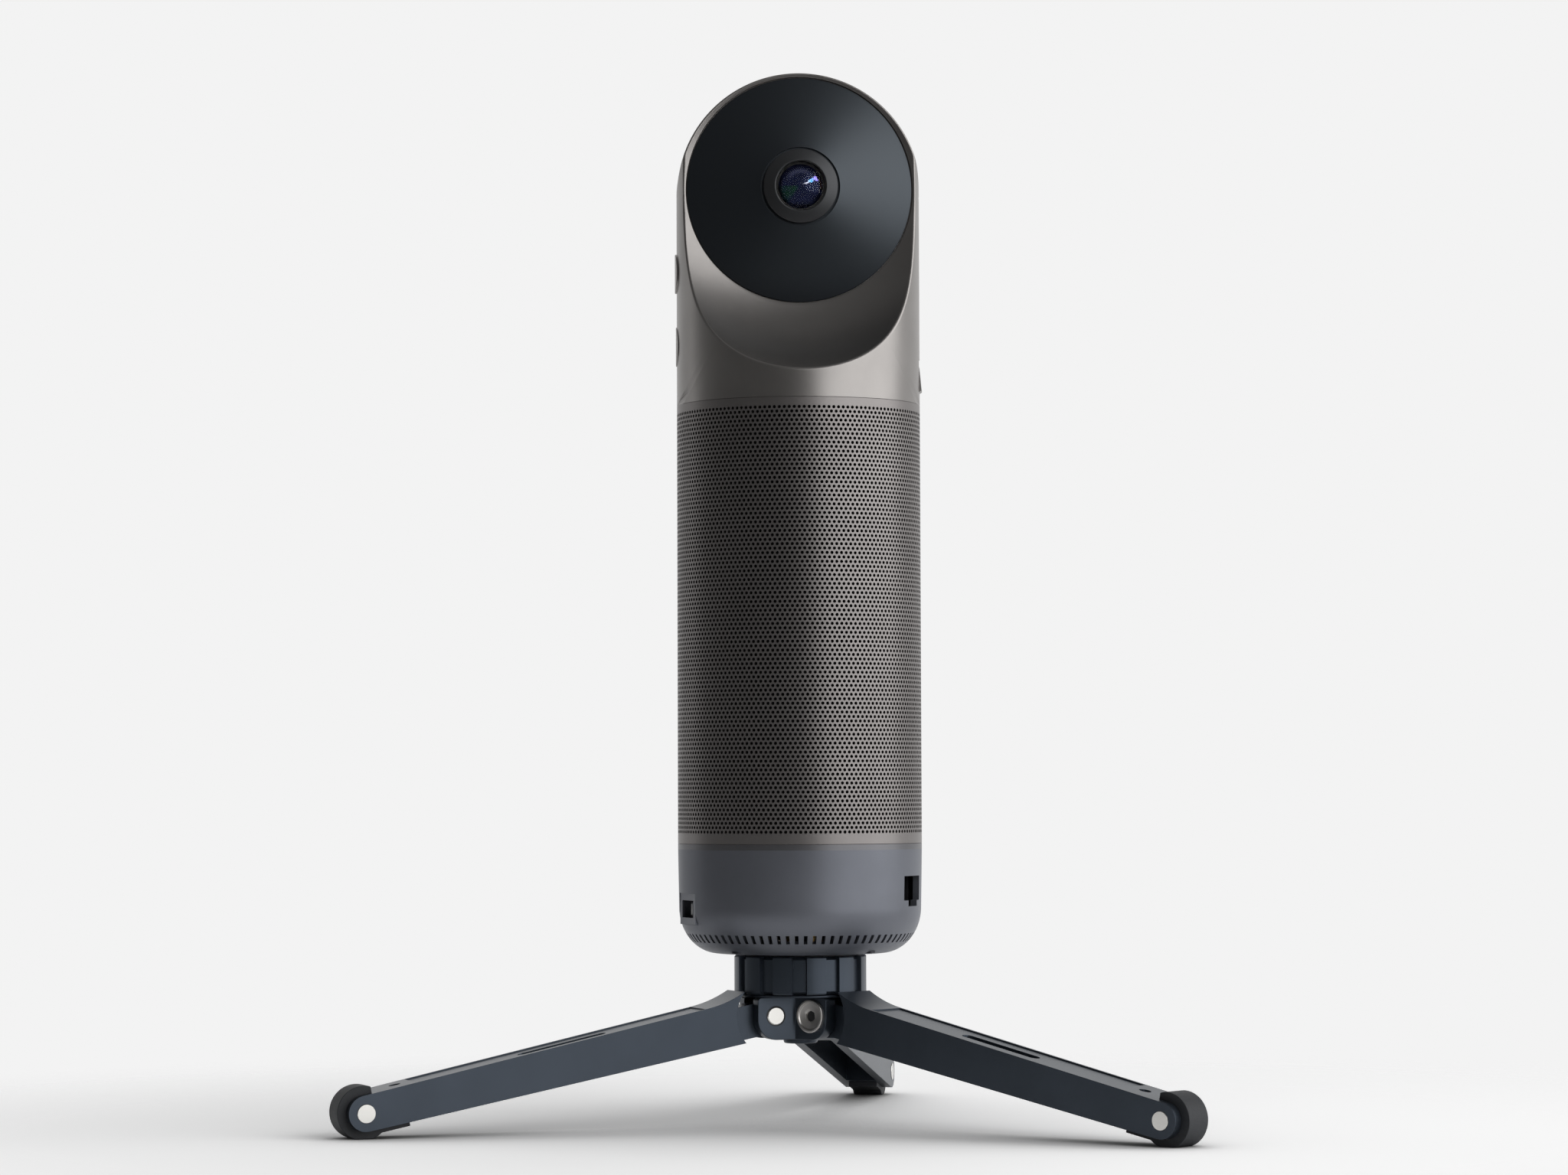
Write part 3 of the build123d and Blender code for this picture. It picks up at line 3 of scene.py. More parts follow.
import json
from math import acos, asin, atan2, cos, degrees, hypot, pi, radians, sin, sqrt

import bmesh
import bpy
import numpy as np
from mathutils import Matrix, Vector

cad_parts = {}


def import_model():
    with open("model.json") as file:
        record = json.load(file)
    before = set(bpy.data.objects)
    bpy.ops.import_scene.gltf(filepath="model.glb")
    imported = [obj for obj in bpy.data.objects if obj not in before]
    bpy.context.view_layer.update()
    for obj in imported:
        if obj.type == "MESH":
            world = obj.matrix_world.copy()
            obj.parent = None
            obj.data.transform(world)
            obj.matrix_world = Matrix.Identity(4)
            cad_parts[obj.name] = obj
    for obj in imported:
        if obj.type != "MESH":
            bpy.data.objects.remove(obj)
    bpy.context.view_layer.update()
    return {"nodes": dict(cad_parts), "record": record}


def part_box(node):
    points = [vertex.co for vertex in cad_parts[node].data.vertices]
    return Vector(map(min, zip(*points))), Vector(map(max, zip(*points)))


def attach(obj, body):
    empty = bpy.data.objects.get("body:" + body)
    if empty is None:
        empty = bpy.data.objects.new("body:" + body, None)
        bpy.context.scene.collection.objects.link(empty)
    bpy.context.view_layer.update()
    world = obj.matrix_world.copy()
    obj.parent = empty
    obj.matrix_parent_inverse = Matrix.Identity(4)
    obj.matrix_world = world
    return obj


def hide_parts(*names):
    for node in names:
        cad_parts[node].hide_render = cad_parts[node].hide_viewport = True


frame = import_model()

MM = 0.001
tiny = 1e-9

# Sizes that come from the frame
sleeve_low, sleeve_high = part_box("grille_sleeve")
head_low, head_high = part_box("head_shell")
body_radius = sleeve_high.x
lens_rise = 1.37 * MM
lens_height = head_high.z - body_radius + lens_rise
body_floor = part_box("bottom_cover")[0].z
head_drop = lens_height - head_low.z

# The picture's camera
camera_place = (-64.7 * MM, -1377.1 * MM, 101.9 * MM)
camera_heading = -2.5
camera_pitch = 2.531
camera_roll = -0.2
camera_lens = 104.09
camera_sensor = 36.0
camera_reach = (0.05, 50.0)


def placed(name, data):
    """A new object in the scene."""
    made = bpy.data.objects.new(name, data)
    bpy.context.scene.collection.objects.link(made)
    return made


def camera():
    """The camera at the photograph's viewing angle."""
    data = bpy.data.cameras.new("camera")
    data.lens, data.sensor_width = camera_lens, camera_sensor
    data.clip_start, data.clip_end = camera_reach
    eye = placed("camera", data)
    turn = Matrix.Rotation(radians(camera_heading), 4, "Z")
    tilt = Matrix.Rotation(radians(90 + camera_pitch), 4, "X")
    roll = Matrix.Rotation(radians(camera_roll), 4, "Z")
    eye.matrix_world = Matrix.Translation(camera_place) @ turn @ tilt @ roll
    bpy.context.scene.camera = eye


# Studio: world and floor
background_level = 0.896
left_level = 0.28
front_level = 0.08
sky_level = 0.02
right_power = 2.0
back_power = 2.5
mirror_power = 9.0
floor_radius = 1.6
floor_fade_start = 0.13
floor_fade_end = 0.40
floor_gain_share = 0.54
floor_glow = 0.08
# Reach, power and samples of the ambient occlusion that paints shade on the floor near the object
shade_reach = 0.12
shade_power = 0.9
shade_samples = 8
floor_color = (0.9, 0.9, 0.9)
floor_drop = 0.02 * MM
floor_step = 5
black = (0.0, 0.0, 0.0)


# Soft boxes: place, width, height and power
lamp_target = (0.0, 0.0, 0.16)
soft_boxes = {
    "key_lamp": ((1.35, -0.80, 0.70), 3.1, 1.6, 31.0),
    "top_lamp": ((0.2, 1.1, 1.4), 1.2, 1.0, 1.6),
    "edge_lamp": ((-1.2, 0.75, 0.5), 0.35, 1.3, 0.7),
}


def area_lamp(name, place, width, height, power):
    """A soft box that points at the object."""
    data = bpy.data.lights.new(name, "AREA")
    data.shape, data.size, data.size_y = "RECTANGLE", width, height
    data.energy = power
    lamp = placed(name, data)
    lamp.location = place
    lamp.rotation_euler = (Vector(lamp_target) - Vector(place)).to_track_quat("-Z", "Y").to_euler()


def lamps():
    """A wide soft box in front on the right, a weak one above and behind, and a strip behind on the left."""
    for name, sizes in soft_boxes.items():
        area_lamp(name, *sizes)


def set_input(tree, socket, value):
    """Links a node's input to another's output, or sets its number or colour."""
    if isinstance(value, bpy.types.NodeSocket):
        tree.links.new(value, socket)
    else:
        socket.default_value = (*value, 1) if isinstance(value, tuple) else value


def set_inputs(tree, node, **inputs):
    """Sets the inputs of a node by name."""
    for key, value in inputs.items():
        set_input(tree, node.inputs[key.replace("_", " ")], value)


def add_node(tree, kind, **inputs):
    """A new shader node with its inputs set."""
    node = tree.nodes.new(f"ShaderNode{kind}")
    set_inputs(tree, node, **inputs)
    return node


def math_node(tree, operation, *values):
    """A math node on sockets or numbers, giving its output."""
    node = add_node(tree, "Math")
    node.operation = operation
    for socket, value in zip(node.inputs, values):
        set_input(tree, socket, value)
    return node.outputs[0]


def mixed_color(tree, share, first, second):
    """A mix of two colours, each a triple or a socket."""
    node = add_node(tree, "Mix")
    node.data_type = "RGBA"
    for index, value in ((0, share), (6, first), (7, second)):
        set_input(tree, node.inputs[index], value)
    return node.outputs[2]


def added_shader(tree, first, second):
    """The sum of two shader nodes."""
    node = add_node(tree, "AddShader")
    for socket, shader in zip(node.inputs, (first, second)):
        set_input(tree, socket, shader.outputs[0])
    return node


def new_material(name):
    """A material with nodes, and its tree."""
    material = bpy.data.materials.new(name)
    material.use_nodes = True
    return material, material.node_tree


def world():
    """A plain background for the camera, and a room that is dim in front and pale behind on the right."""
    made = bpy.data.worlds.new("studio")
    made.use_nodes = True
    bpy.context.scene.world = made
    tree = made.node_tree
    tree.nodes.clear()
    place = add_node(tree, "TexCoord")
    axes = add_node(tree, "SeparateXYZ", Vector=place.outputs["Generated"])
    behind = math_node(tree, "MULTIPLY_ADD", axes.outputs["Y"], 0.5, 0.5)
    rightward = math_node(tree, "MULTIPLY_ADD", axes.outputs["X"], 0.5, 0.5)
    upward = math_node(tree, "MAXIMUM", axes.outputs["Z"], 0.0)
    back_level = math_node(tree, "ADD", math_node(tree, "POWER", rightward, right_power), left_level)
    back_share = math_node(tree, "POWER", behind, back_power)
    level = math_node(tree, "MULTIPLY_ADD", back_share, back_level, front_level)
    level = math_node(tree, "ADD", level, math_node(tree, "MULTIPLY", upward, sky_level))
    rays = add_node(tree, "LightPath")
    seen = math_node(tree, "MAXIMUM", rays.outputs["Is Camera Ray"], rays.outputs["Is Transmission Ray"])
    mirrored = math_node(tree, "POWER", behind, mirror_power)
    mirrored = math_node(tree, "MULTIPLY", rays.outputs["Is Glossy Ray"], mirrored)
    mixed = add_node(tree, "Mix")
    for index, value in ((0, math_node(tree, "MAXIMUM", seen, mirrored)), (2, level), (3, background_level)):
        set_input(tree, mixed.inputs[index], value)
    shade = add_node(tree, "Background", Color=(1, 1, 1), Strength=mixed.outputs[0])
    add_node(tree, "OutputWorld", Surface=shade.outputs[0])


def floor():
    """A pale floor that keeps the object's soft shadow from the lamps, is darkened further by painted shade
    near the object, and fades into the background.
    """
    material, tree = new_material("floor")
    tree.nodes.clear()
    # Painted shade: ambient occlusion darkens the floor's colour, its extra gain and its glow near the
    # object
    cover = add_node(tree, "AmbientOcclusion", Distance=shade_reach)
    cover.samples = shade_samples
    painted_contact_shade = math_node(tree, "POWER", cover.outputs["AO"], shade_power)
    matt = add_node(tree, "BsdfDiffuse", Color=mixed_color(tree, painted_contact_shade, black, floor_color))
    rays = add_node(tree, "LightPath")
    seen = math_node(tree, "MAXIMUM", rays.outputs["Is Camera Ray"], rays.outputs["Is Transmission Ray"])
    seen = math_node(tree, "MAXIMUM", seen, rays.outputs["Is Glossy Ray"])
    seen = math_node(tree, "MULTIPLY", seen, painted_contact_shade)
    glow = add_node(tree, "Emission", Strength=math_node(tree, "MULTIPLY", seen, floor_glow))
    gain = add_node(tree, "BsdfDiffuse", Color=mixed_color(tree, seen, black, (floor_gain_share,) * 3))
    shining = added_shader(tree, added_shader(tree, matt, gain), glow)
    place = add_node(tree, "TexCoord")
    reach = add_node(tree, "VectorMath")
    reach.operation = "LENGTH"
    set_input(tree, reach.inputs[0], place.outputs["Object"])
    fade = add_node(tree, "MapRange", From_Min=floor_fade_start, From_Max=floor_fade_end)
    fade.interpolation_type = "SMOOTHSTEP"
    set_inputs(tree, fade, Value=reach.outputs["Value"])
    clear = add_node(tree, "BsdfTransparent")
    faded = add_node(tree, "MixShader")
    for socket, node in zip(faded.inputs, (fade, shining, clear)):
        set_input(tree, socket, node.outputs[0])
    add_node(tree, "OutputMaterial", Surface=faded.outputs[0])
    mesh = bpy.data.meshes.new("floor")
    angles = [radians(turn) for turn in range(0, 360, floor_step)]
    corners = [(cos(angle) * floor_radius, sin(angle) * floor_radius, -floor_drop) for angle in angles]
    mesh.from_pydata(corners, [], [list(range(len(corners)))])
    mesh.materials.append(material)
    plane = placed("floor", mesh)


# Materials: each finish is a Principled shader with its own grain and mottling
grain_detail = 3.0
mottle_detail = 4.0
noise_range = (0.3, 0.7)
rough_share = 0.12
coated_glass_ior = 1.12


def finish_material(
    name,
    color,
    roughness,
    metallic,
    grain=9000.0,
    grain_depth=0.006 * MM,
    mottle=60.0,
    mottle_share=0.06,
    **shader_inputs,
):
    """A surface with fine grain in its bump and roughness and a faint large-scale mottling of its colour."""
    material, tree = new_material(name)
    place = add_node(tree, "TexCoord").outputs["Object"]
    fine = add_node(tree, "TexNoise", Scale=grain, Detail=grain_detail, Vector=place).outputs["Fac"]
    broad = add_node(tree, "TexNoise", Scale=mottle, Detail=mottle_detail, Vector=place).outputs["Fac"]
    tones = add_node(tree, "ValToRGB", Fac=broad)
    dark = [channel * (1 - mottle_share) for channel in color]
    light = [min(1.0, channel * (1 + mottle_share)) for channel in color]
    for element, position, tone in zip(tones.color_ramp.elements, noise_range, (dark, light)):
        element.position, element.color = position, (*tone, 1)
    low, high = noise_range
    spread = add_node(tree, "MapRange", Value=fine, From_Min=low, From_Max=high)
    set_inputs(tree, spread, To_Min=roughness * (1 - rough_share), To_Max=roughness * (1 + rough_share))
    bump = add_node(tree, "Bump", Strength=1.0, Distance=grain_depth, Height=fine)
    shader = tree.nodes["Principled BSDF"]
    set_inputs(tree, shader, Metallic=metallic, Base_Color=tones.outputs[0], **shader_inputs)
    set_inputs(tree, shader, Roughness=spread.outputs[0], Normal=bump.outputs[0])
    return material


def glass_material(name):
    """Clear glass whose coating leaves little reflection."""
    material, tree = new_material(name)
    shader = tree.nodes["Principled BSDF"]
    set_inputs(tree, shader, Base_Color=(1, 1, 1), Roughness=0.0)
    set_inputs(tree, shader, IOR=coated_glass_ior, Transmission_Weight=1.0)
    return material


def band_mask(tree, value, middle, half_width, softness):
    """One inside a band of values and nought outside it, with soft edges."""
    away = math_node(tree, "ABSOLUTE", math_node(tree, "SUBTRACT", value, middle))
    over = math_node(tree, "DIVIDE", math_node(tree, "SUBTRACT", half_width + softness, away), softness)
    return math_node(tree, "MAXIMUM", math_node(tree, "MINIMUM", over, 1.0), 0.0)


# Patches of painted light on the lens element by angle and by radius, each as middle, half width and
# softness: the streak and the glint are painted highlights, the green patch and the arc painted reflections
painted_lens_patches = {
    "streak": ((0.44, 0.09, 0.09), (0.46, 0.36, 0.06)),
    "glint": ((0.15, 0.22, 0.12), (0.91, 0.02, 0.03)),
    "green": ((-2.7, 0.22, 0.35), (0.55, 0.22, 0.25)),
    "arc": ((1.75, 0.5, 0.6), (0.66, 0.05, 0.10)),
}
coating_blue = (0.003, 0.004, 0.012)
# Painted reflection: colours of the green patch and the arc; painted highlight: the glint's colour and the
# streak's grain, raggedness and colours
painted_green_reflection = (0.002, 0.016, 0.005)
painted_arc_reflection = (0.016, 0.018, 0.034)
plain_shine = (0.005, 0.006, 0.014)
painted_glint_color = (0.36, 0.16, 0.08)
painted_streak_grain = 900.0
painted_streak_raggedness = 0.5
element_roughness = 0.5
gloss_roughness = 0.12
painted_streak_stops = (
    (0.10, (0.16, 0.17, 0.20)),
    (0.30, (0.24, 0.24, 0.30)),
    (0.50, (0.05, 0.20, 0.36)),
    (0.72, (0.15, 0.12, 0.42)),
)


def painted_lens_patch(tree, name, angle, radius):
    """Mask of one of the lens element's patches of painted light."""
    turns, reaches = painted_lens_patches[name]
    return math_node(tree, "MULTIPLY", band_mask(tree, angle, *turns), band_mask(tree, radius, *reaches))


def coating_with_painted_light(name, side, reach):
    """A dark lens element: a blue coating, painted reflection as a green patch low on the left and a pale
    arc at the top, and painted highlight as a streak to the upper right and an orange glint at the rim.
    """
    material, tree = new_material(name)
    shader = tree.nodes["Principled BSDF"]
    place = add_node(tree, "TexCoord").outputs["Object"]
    axes = add_node(tree, "SeparateXYZ", Vector=place)
    across = math_node(tree, "MULTIPLY", axes.outputs["X"], -side / reach)
    up = math_node(tree, "DIVIDE", math_node(tree, "SUBTRACT", axes.outputs["Z"], lens_height), reach)
    squares = math_node(tree, "MULTIPLY_ADD", across, across, math_node(tree, "MULTIPLY", up, up))
    radius = math_node(tree, "SQRT", squares)
    angle = math_node(tree, "ARCTAN2", up, across)
    noise = add_node(tree, "TexNoise", Scale=painted_streak_grain, Vector=place)
    ragged = math_node(tree, "MULTIPLY_ADD", noise.outputs["Fac"], painted_streak_raggedness, -painted_streak_raggedness / 2)
    # Painted highlight: the streak and the glint raise the glossy colour in fixed patches; painted
    # reflection: the green patch and the arc tint the base colour
    streak = painted_lens_patch(tree, "streak", math_node(tree, "ADD", angle, ragged), radius)
    glint, green, arc = (painted_lens_patch(tree, patch, angle, radius) for patch in ("glint", "green", "arc"))
    color = mixed_color(tree, green, coating_blue, painted_green_reflection)
    color = mixed_color(tree, arc, color, painted_arc_reflection)
    painted_streak_ramp = add_node(tree, "ValToRGB", Fac=radius)
    ramp = painted_streak_ramp.color_ramp
    while len(ramp.elements) < len(painted_streak_stops):
        ramp.elements.new(0.5)
    for element, (position, shade) in zip(ramp.elements, painted_streak_stops):
        element.position, element.color = position, (*shade, 1)
    shine_with_painted_highlights = mixed_color(tree, streak, plain_shine, painted_streak_ramp.outputs[0])
    shine_with_painted_highlights = mixed_color(tree, glint, shine_with_painted_highlights, painted_glint_color)
    gloss = add_node(tree, "BsdfGlossy", Roughness=gloss_roughness, Color=shine_with_painted_highlights)
    set_inputs(tree, shader, Base_Color=color, Roughness=element_roughness, Specular_IOR_Level=0.0)
    both = added_shader(tree, shader, gloss)
    set_inputs(tree, tree.nodes["Material Output"], Surface=both.outputs[0])
    return material


# Finishes: colour, roughness, metallic share and what differs from the usual
coat = dict(IOR=1.75, Specular_Tint=(0.80, 0.90, 1.0))
brushing = dict(grain=5000, grain_depth=0.002 * MM, mottle_share=0.1)
finishes = {
    "head_metal": ((0.31, 0.295, 0.285), 0.36, 0.9, dict(grain=7000, grain_depth=0.004 * MM)),
    "grille_metal": ((0.25, 0.235, 0.23), 0.40, 0.85, dict(grain=7000, grain_depth=0.003 * MM)),
    "trim_metal": ((0.17, 0.17, 0.18), 0.38, 0.8, {}),
    "base_plastic": ((0.172, 0.182, 0.210), 0.44, 0.6, dict(grain=8000, grain_depth=0.004 * MM)),
    "cover_black": ((0.004, 0.005, 0.007), 0.41, 0.0, dict(grain=12000, grain_depth=0.001 * MM, **coat)),
    "ring_black": ((0.058, 0.060, 0.064), 0.42, 0.6, dict(grain=12000, grain_depth=0.002 * MM)),
    "inner_plastic": ((0.012, 0.012, 0.012), 0.55, 0.0, {}),
    "circuit_board": ((0.015, 0.09, 0.045), 0.40, 0.0, dict(mottle=900, mottle_share=0.3)),
    "bracket_metal": ((0.55, 0.55, 0.56), 0.38, 1.0, {}),
    "steel": ((0.50, 0.49, 0.47), 0.30, 1.0, {}),
    "port_metal": ((0.52, 0.52, 0.53), 0.30, 1.0, {}),
    "port_black": ((0.016, 0.016, 0.018), 0.42, 0.0, {}),
    "acoustic_cloth": ((0.006, 0.006, 0.006), 0.95, 0.0, dict(grain=2500, grain_depth=0.05 * MM)),
    "basket_metal": ((0.03, 0.03, 0.03), 0.5, 0.5, {}),
    "magnet_iron": ((0.25, 0.25, 0.26), 0.35, 1.0, {}),
    "cone_fibre": ((0.025, 0.025, 0.025), 0.85, 0.0, dict(grain=1500, grain_depth=0.03 * MM)),
    "brass": ((0.65, 0.46, 0.18), 0.32, 1.0, {}),
    "tripod_black": ((0.050, 0.062, 0.080), 0.33, 0.7, dict(grain=6000, grain_depth=0.003 * MM)),
    "black_steel": ((0.05, 0.05, 0.055), 0.35, 1.0, {}),
    "screw_steel": ((0.58, 0.56, 0.54), 0.34, 1.0, dict(grain=5000)),
    "pale_plastic": ((0.42, 0.42, 0.43), 0.5, 0.0, {}),
    "rubber": ((0.020, 0.022, 0.026), 0.62, 0.0, dict(grain=4000, grain_depth=0.008 * MM)),
    "polished_steel": ((0.72, 0.71, 0.68), 0.22, 1.0, brushing),
}
materials = {name: finish_material(name, *finish, **more) for name, (*finish, more) in finishes.items()}
materials["lens_glass"] = glass_material("lens_glass")

node_slots = {row["node"]: row["material_slot"] for row in frame["record"]["subparts"]}
body_nodes = frame["record"]["behaviour"]["bodies"]
node_bodies = {node: body for body, nodes in body_nodes.items() for node in nodes}


# Angles in degrees beyond which an edge stays sharp
node_sharp = 30
head_sharp = 22


def smooth(mesh, sharp):
    """Shades a mesh smooth, but for its sharp edges."""
    mesh.shade_smooth()
    mesh.set_sharp_from_angle(angle=radians(sharp))


def dress_nodes():
    """Every CAD node takes its slot's material, and the small screws a black finish."""
    for name, node in frame["nodes"].items():
        node.data.materials.clear()
        finish = "black_steel" if name in ("cover_screws", "head_screws") else node_slots[name]
        node.data.materials.append(materials[finish])
        smooth(node.data, node_sharp)


def new_piece(name, vertices, faces, slot, body, replaced=(), material=None, sharp=35):
    """A mesh object that rides on a body, with the given material or else its slot's material, which hides
    the CAD parts that it replaces.
    """
    mesh = bpy.data.meshes.new(name)
    mesh.from_pydata(vertices, [], faces)
    mesh.update()
    smooth(mesh, sharp)
    mesh.materials.append(material or materials[slot])
    piece = placed(name, mesh)
    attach(piece, body)
    if replaced:
        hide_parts(*replaced)


def bake(piece):
    """Gives a piece the mesh that its modifiers make of it."""
    bpy.context.view_layer.update()
    made = bpy.data.meshes.new_from_object(piece.evaluated_get(bpy.context.evaluated_depsgraph_get()))
    piece.modifiers.clear()
    piece.data = made


# Edges of the tripod's pieces
soft_edge = 0.22 * MM
soft_segments = 2
soft_angle = 30
flat_angle = 0.3
normal_weight = 80
weld_distance = 0.0005 * MM


def soften(node):
    """A copy of a CAD node with its sharp edges rounded a little, which stands for the node."""
    mesh = frame["nodes"][node].data.copy()
    shape = bmesh.new()
    shape.from_mesh(mesh)
    bmesh.ops.remove_doubles(shape, verts=shape.verts, dist=weld_distance)
    bmesh.ops.dissolve_limit(shape, angle_limit=radians(flat_angle), verts=shape.verts, edges=shape.edges)
    shape.to_mesh(mesh)
    shape.free()
    mesh.shade_smooth()
    piece = placed(f"{node}_soft", mesh)
    bevel = piece.modifiers.new("bevel", "BEVEL")
    bevel.width, bevel.segments, bevel.limit_method = soft_edge, soft_segments, "ANGLE"
    bevel.angle_limit, bevel.use_clamp_overlap, bevel.harden_normals = radians(soft_angle), True, False
    weighted = piece.modifiers.new("weighted", "WEIGHTED_NORMAL")
    weighted.mode, weighted.weight, weighted.keep_sharp = "FACE_AREA", normal_weight, False
    bake(piece)
    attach(piece, node_bodies[node])
    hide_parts(node)


def lens_point(side):
    """Turns a distance from the lens axis, a distance outward and an angle into a point."""
    return lambda radius, out, angle: (radius * cos(angle), side * out, lens_height + radius * sin(angle))


def lathe(profile, place, turns=192, closed=True):
    """Vertices and faces of a turned profile [(radius, along), ...]. A radius may depend on the angle."""
    vertices, rings = [], []
    for radius, along in profile:
        if not callable(radius) and radius < tiny:
            rings.append([len(vertices)] * turns)
            vertices.append(place(0.0, along, 0.0))
        else:
            reach = radius if callable(radius) else lambda angle, radius=radius: radius
            rings.append(list(range(len(vertices), len(vertices) + turns)))
            angles = [2 * pi * step / turns for step in range(turns)]
            vertices += [place(reach(angle), along, angle) for angle in angles]
    faces = []
    pairs = list(zip(rings, rings[1:] + rings[:1])) if closed else list(zip(rings, rings[1:]))
    for low, high in pairs:
        for step in range(turns):
            following = (step + 1) % turns
            corners = [low[step], low[following], high[following], high[step]]
            face = list(dict.fromkeys(corners))
            if len(face) > 2:
                faces.append(face)
    return vertices, faces


corner_share = 0.45


def rounded_outline(points, steps=5):
    """A closed outline [(x, y, corner radius), ...] with each corner replaced by a curve."""
    made = []
    for index, (x, y, radius) in enumerate(points):
        here = np.array((x, y))
        before = np.array(points[index - 1][:2]) - here
        after = np.array(points[(index + 1) % len(points)][:2]) - here
        reach = min(radius, corner_share * min(np.linalg.norm(before), np.linalg.norm(after)))
        if reach < tiny:
            made.append((x, y))
            continue
        start = here + before / np.linalg.norm(before) * reach
        end = here + after / np.linalg.norm(after) * reach
        for step in range(steps + 1):
            t = step / steps
            point = start * (1 - t) ** 2 + here * 2 * t * (1 - t) + end * t**2
            made.append((float(point[0]), float(point[1])))
    return made


# Perforated sleeve
hole_columns = 156
hole_rows = 97
hole_bands = 5
hole_radius = 0.51 * MM
first_row = 88.8 * MM
last_row = 215.0 * MM
sleeve_wall = 0.8 * MM
sleeve_edge = 0.15 * MM
hole_corners = 8


def grille_band(band, rows_below, rows):
    """One closed ring of the sleeve, with staggered holes through the sheet."""
    pitch = (last_row - first_row) / (hole_rows - 1)
    lines = [first_row + (rows_below - 0.5 + k) * pitch for k in range(rows + 1)]
    half = pi / hole_columns
    wide = 2 * hole_columns
    step_out = hole_radius / body_radius
    layers = []
    for radius in (body_radius, body_radius - sleeve_wall):
        around = np.arange(wide) * half
        line_angles = np.tile(around, rows + 1)
        line_levels = np.repeat(lines, wide)
        shift = (np.arange(rows) + rows_below) % 2
        columns = np.arange(hole_columns)
        centre_angles = (2 * columns[None, :] + shift[:, None]) * half
        row_levels = np.array([(lines[k] + lines[k + 1]) / 2 for k in range(rows)])
        mid_angles = (centre_angles + half).ravel()
        mid_levels = np.repeat(row_levels, hole_columns)
        ring = np.arange(hole_corners) * 2 * pi / hole_corners
        ring_angles = (centre_angles[:, :, None] + step_out * np.cos(ring)).ravel()
        centre_levels = np.broadcast_to(row_levels[:, None, None], (rows, hole_columns, hole_corners))
        ring_levels = (centre_levels + hole_radius * np.sin(ring)).ravel()
        angles = np.concatenate([line_angles, mid_angles, ring_angles])
        levels = np.concatenate([line_levels, mid_levels, ring_levels])
        layers.append(np.stack([radius * np.cos(angles), radius * np.sin(angles), levels], axis=1))
    per_layer = len(layers[0])
    mids = (rows + 1) * wide
    rings = mids + rows * hole_columns
    k, i = np.meshgrid(np.arange(rows), np.arange(hole_columns), indexing="ij")
    centre = 2 * i + (k + rows_below) % 2
    right, left, middle = (centre + 1) % wide, (centre - 1) % wide, centre % wide
    border = np.stack(
        [
            mids + k * hole_columns + i,
            (k + 1) * wide + right,
            (k + 1) * wide + middle,
            (k + 1) * wide + left,
            mids + k * hole_columns + (i - 1) % hole_columns,
            k * wide + left,
            k * wide + middle,
            k * wide + right,
        ],
        axis=-1,
    )
    ring = rings + (k * hole_columns + i)[..., None] * hole_corners + np.arange(hole_corners)
    border_next, ring_next = np.roll(border, -1, axis=-1), np.roll(ring, -1, axis=-1)
    skin = np.stack([border, border_next, ring_next, ring], axis=-1).reshape(-1, 4)
    walls = np.stack([ring, ring_next, ring_next + per_layer, ring + per_layer], axis=-1).reshape(-1, 4)
    back = skin[:, ::-1] + per_layer
    vertices = np.concatenate(layers)
    faces = [skin, walls, back]
    j = np.arange(wide)
    j_next = (j + 1) % wide
    low, high = j, rows * wide + j
    low_next, high_next = j_next, rows * wide + j_next
    if band == 0:
        vertices, low, low_next, more = plain_border(vertices, low, low_next, sleeve_low.z, 1)
        faces += more
        faces.append(np.stack([low_next[0], low[0], low[1], low_next[1]], axis=-1))
    else:
        faces.append(np.stack([low_next, low, low + per_layer, low_next + per_layer], axis=-1))
    if band == hole_bands - 1:
        vertices, high, high_next, more = plain_border(vertices, high, high_next, sleeve_high.z, -1)
        faces += more
        faces.append(np.stack([high[0], high_next[0], high_next[1], high[1]], axis=-1))
    else:
        faces.append(np.stack([high, high_next, high_next + per_layer, high + per_layer], axis=-1))
    faces = np.concatenate(faces)
    name, replaced = f"grille_band_{band + 1}", ("grille_sleeve",)
    new_piece(name, vertices.tolist(), faces.tolist(), "grille_metal", "camera", replaced)


def plain_border(vertices, line, line_next, level, inward):
    """The sleeve's plain strip from the outermost line of cells to its chamfered edge."""
    wide = len(line)
    around = np.arange(wide) * pi / hole_columns
    start = len(vertices)
    per_layer = start // 2
    circles = [
        (body_radius, level + inward * sleeve_edge),
        (body_radius - sleeve_edge, level),
        (body_radius - sleeve_wall, level),
    ]
    added = []
    for radius, height in circles:
        circle = [radius * np.cos(around), radius * np.sin(around), np.full(wide, height)]
        added.append(np.stack(circle, axis=1))
    ids = [start + n * wide + np.arange(wide) for n in range(len(circles))]
    ids_next = [np.roll(one, -1) for one in ids]
    chain = [(line, line_next), *zip(ids, ids_next)]
    faces = []
    for (a, a_next), (b, b_next) in zip(chain[:2], chain[1:3]):
        faces.append(np.stack([a_next, a, b, b_next] if inward > 0 else [a, a_next, b_next, b], axis=-1))
    inner, inner_next = line + per_layer, line_next + per_layer
    strip = [ids[2], ids_next[2], inner_next, inner]
    faces.append(np.stack(strip[::-1] if inward > 0 else strip, axis=-1))
    return np.concatenate([vertices, *added]), (ids[1], ids[2]), (ids_next[1], ids_next[2]), faces


def grille():
    """The perforated sleeve, in rings that meet."""
    row_counts = [hole_rows // hole_bands + (n < hole_rows % hole_bands) for n in range(hole_bands)]
    below = 0
    for band, rows in enumerate(row_counts):
        grille_band(band, below, rows)
        below += rows


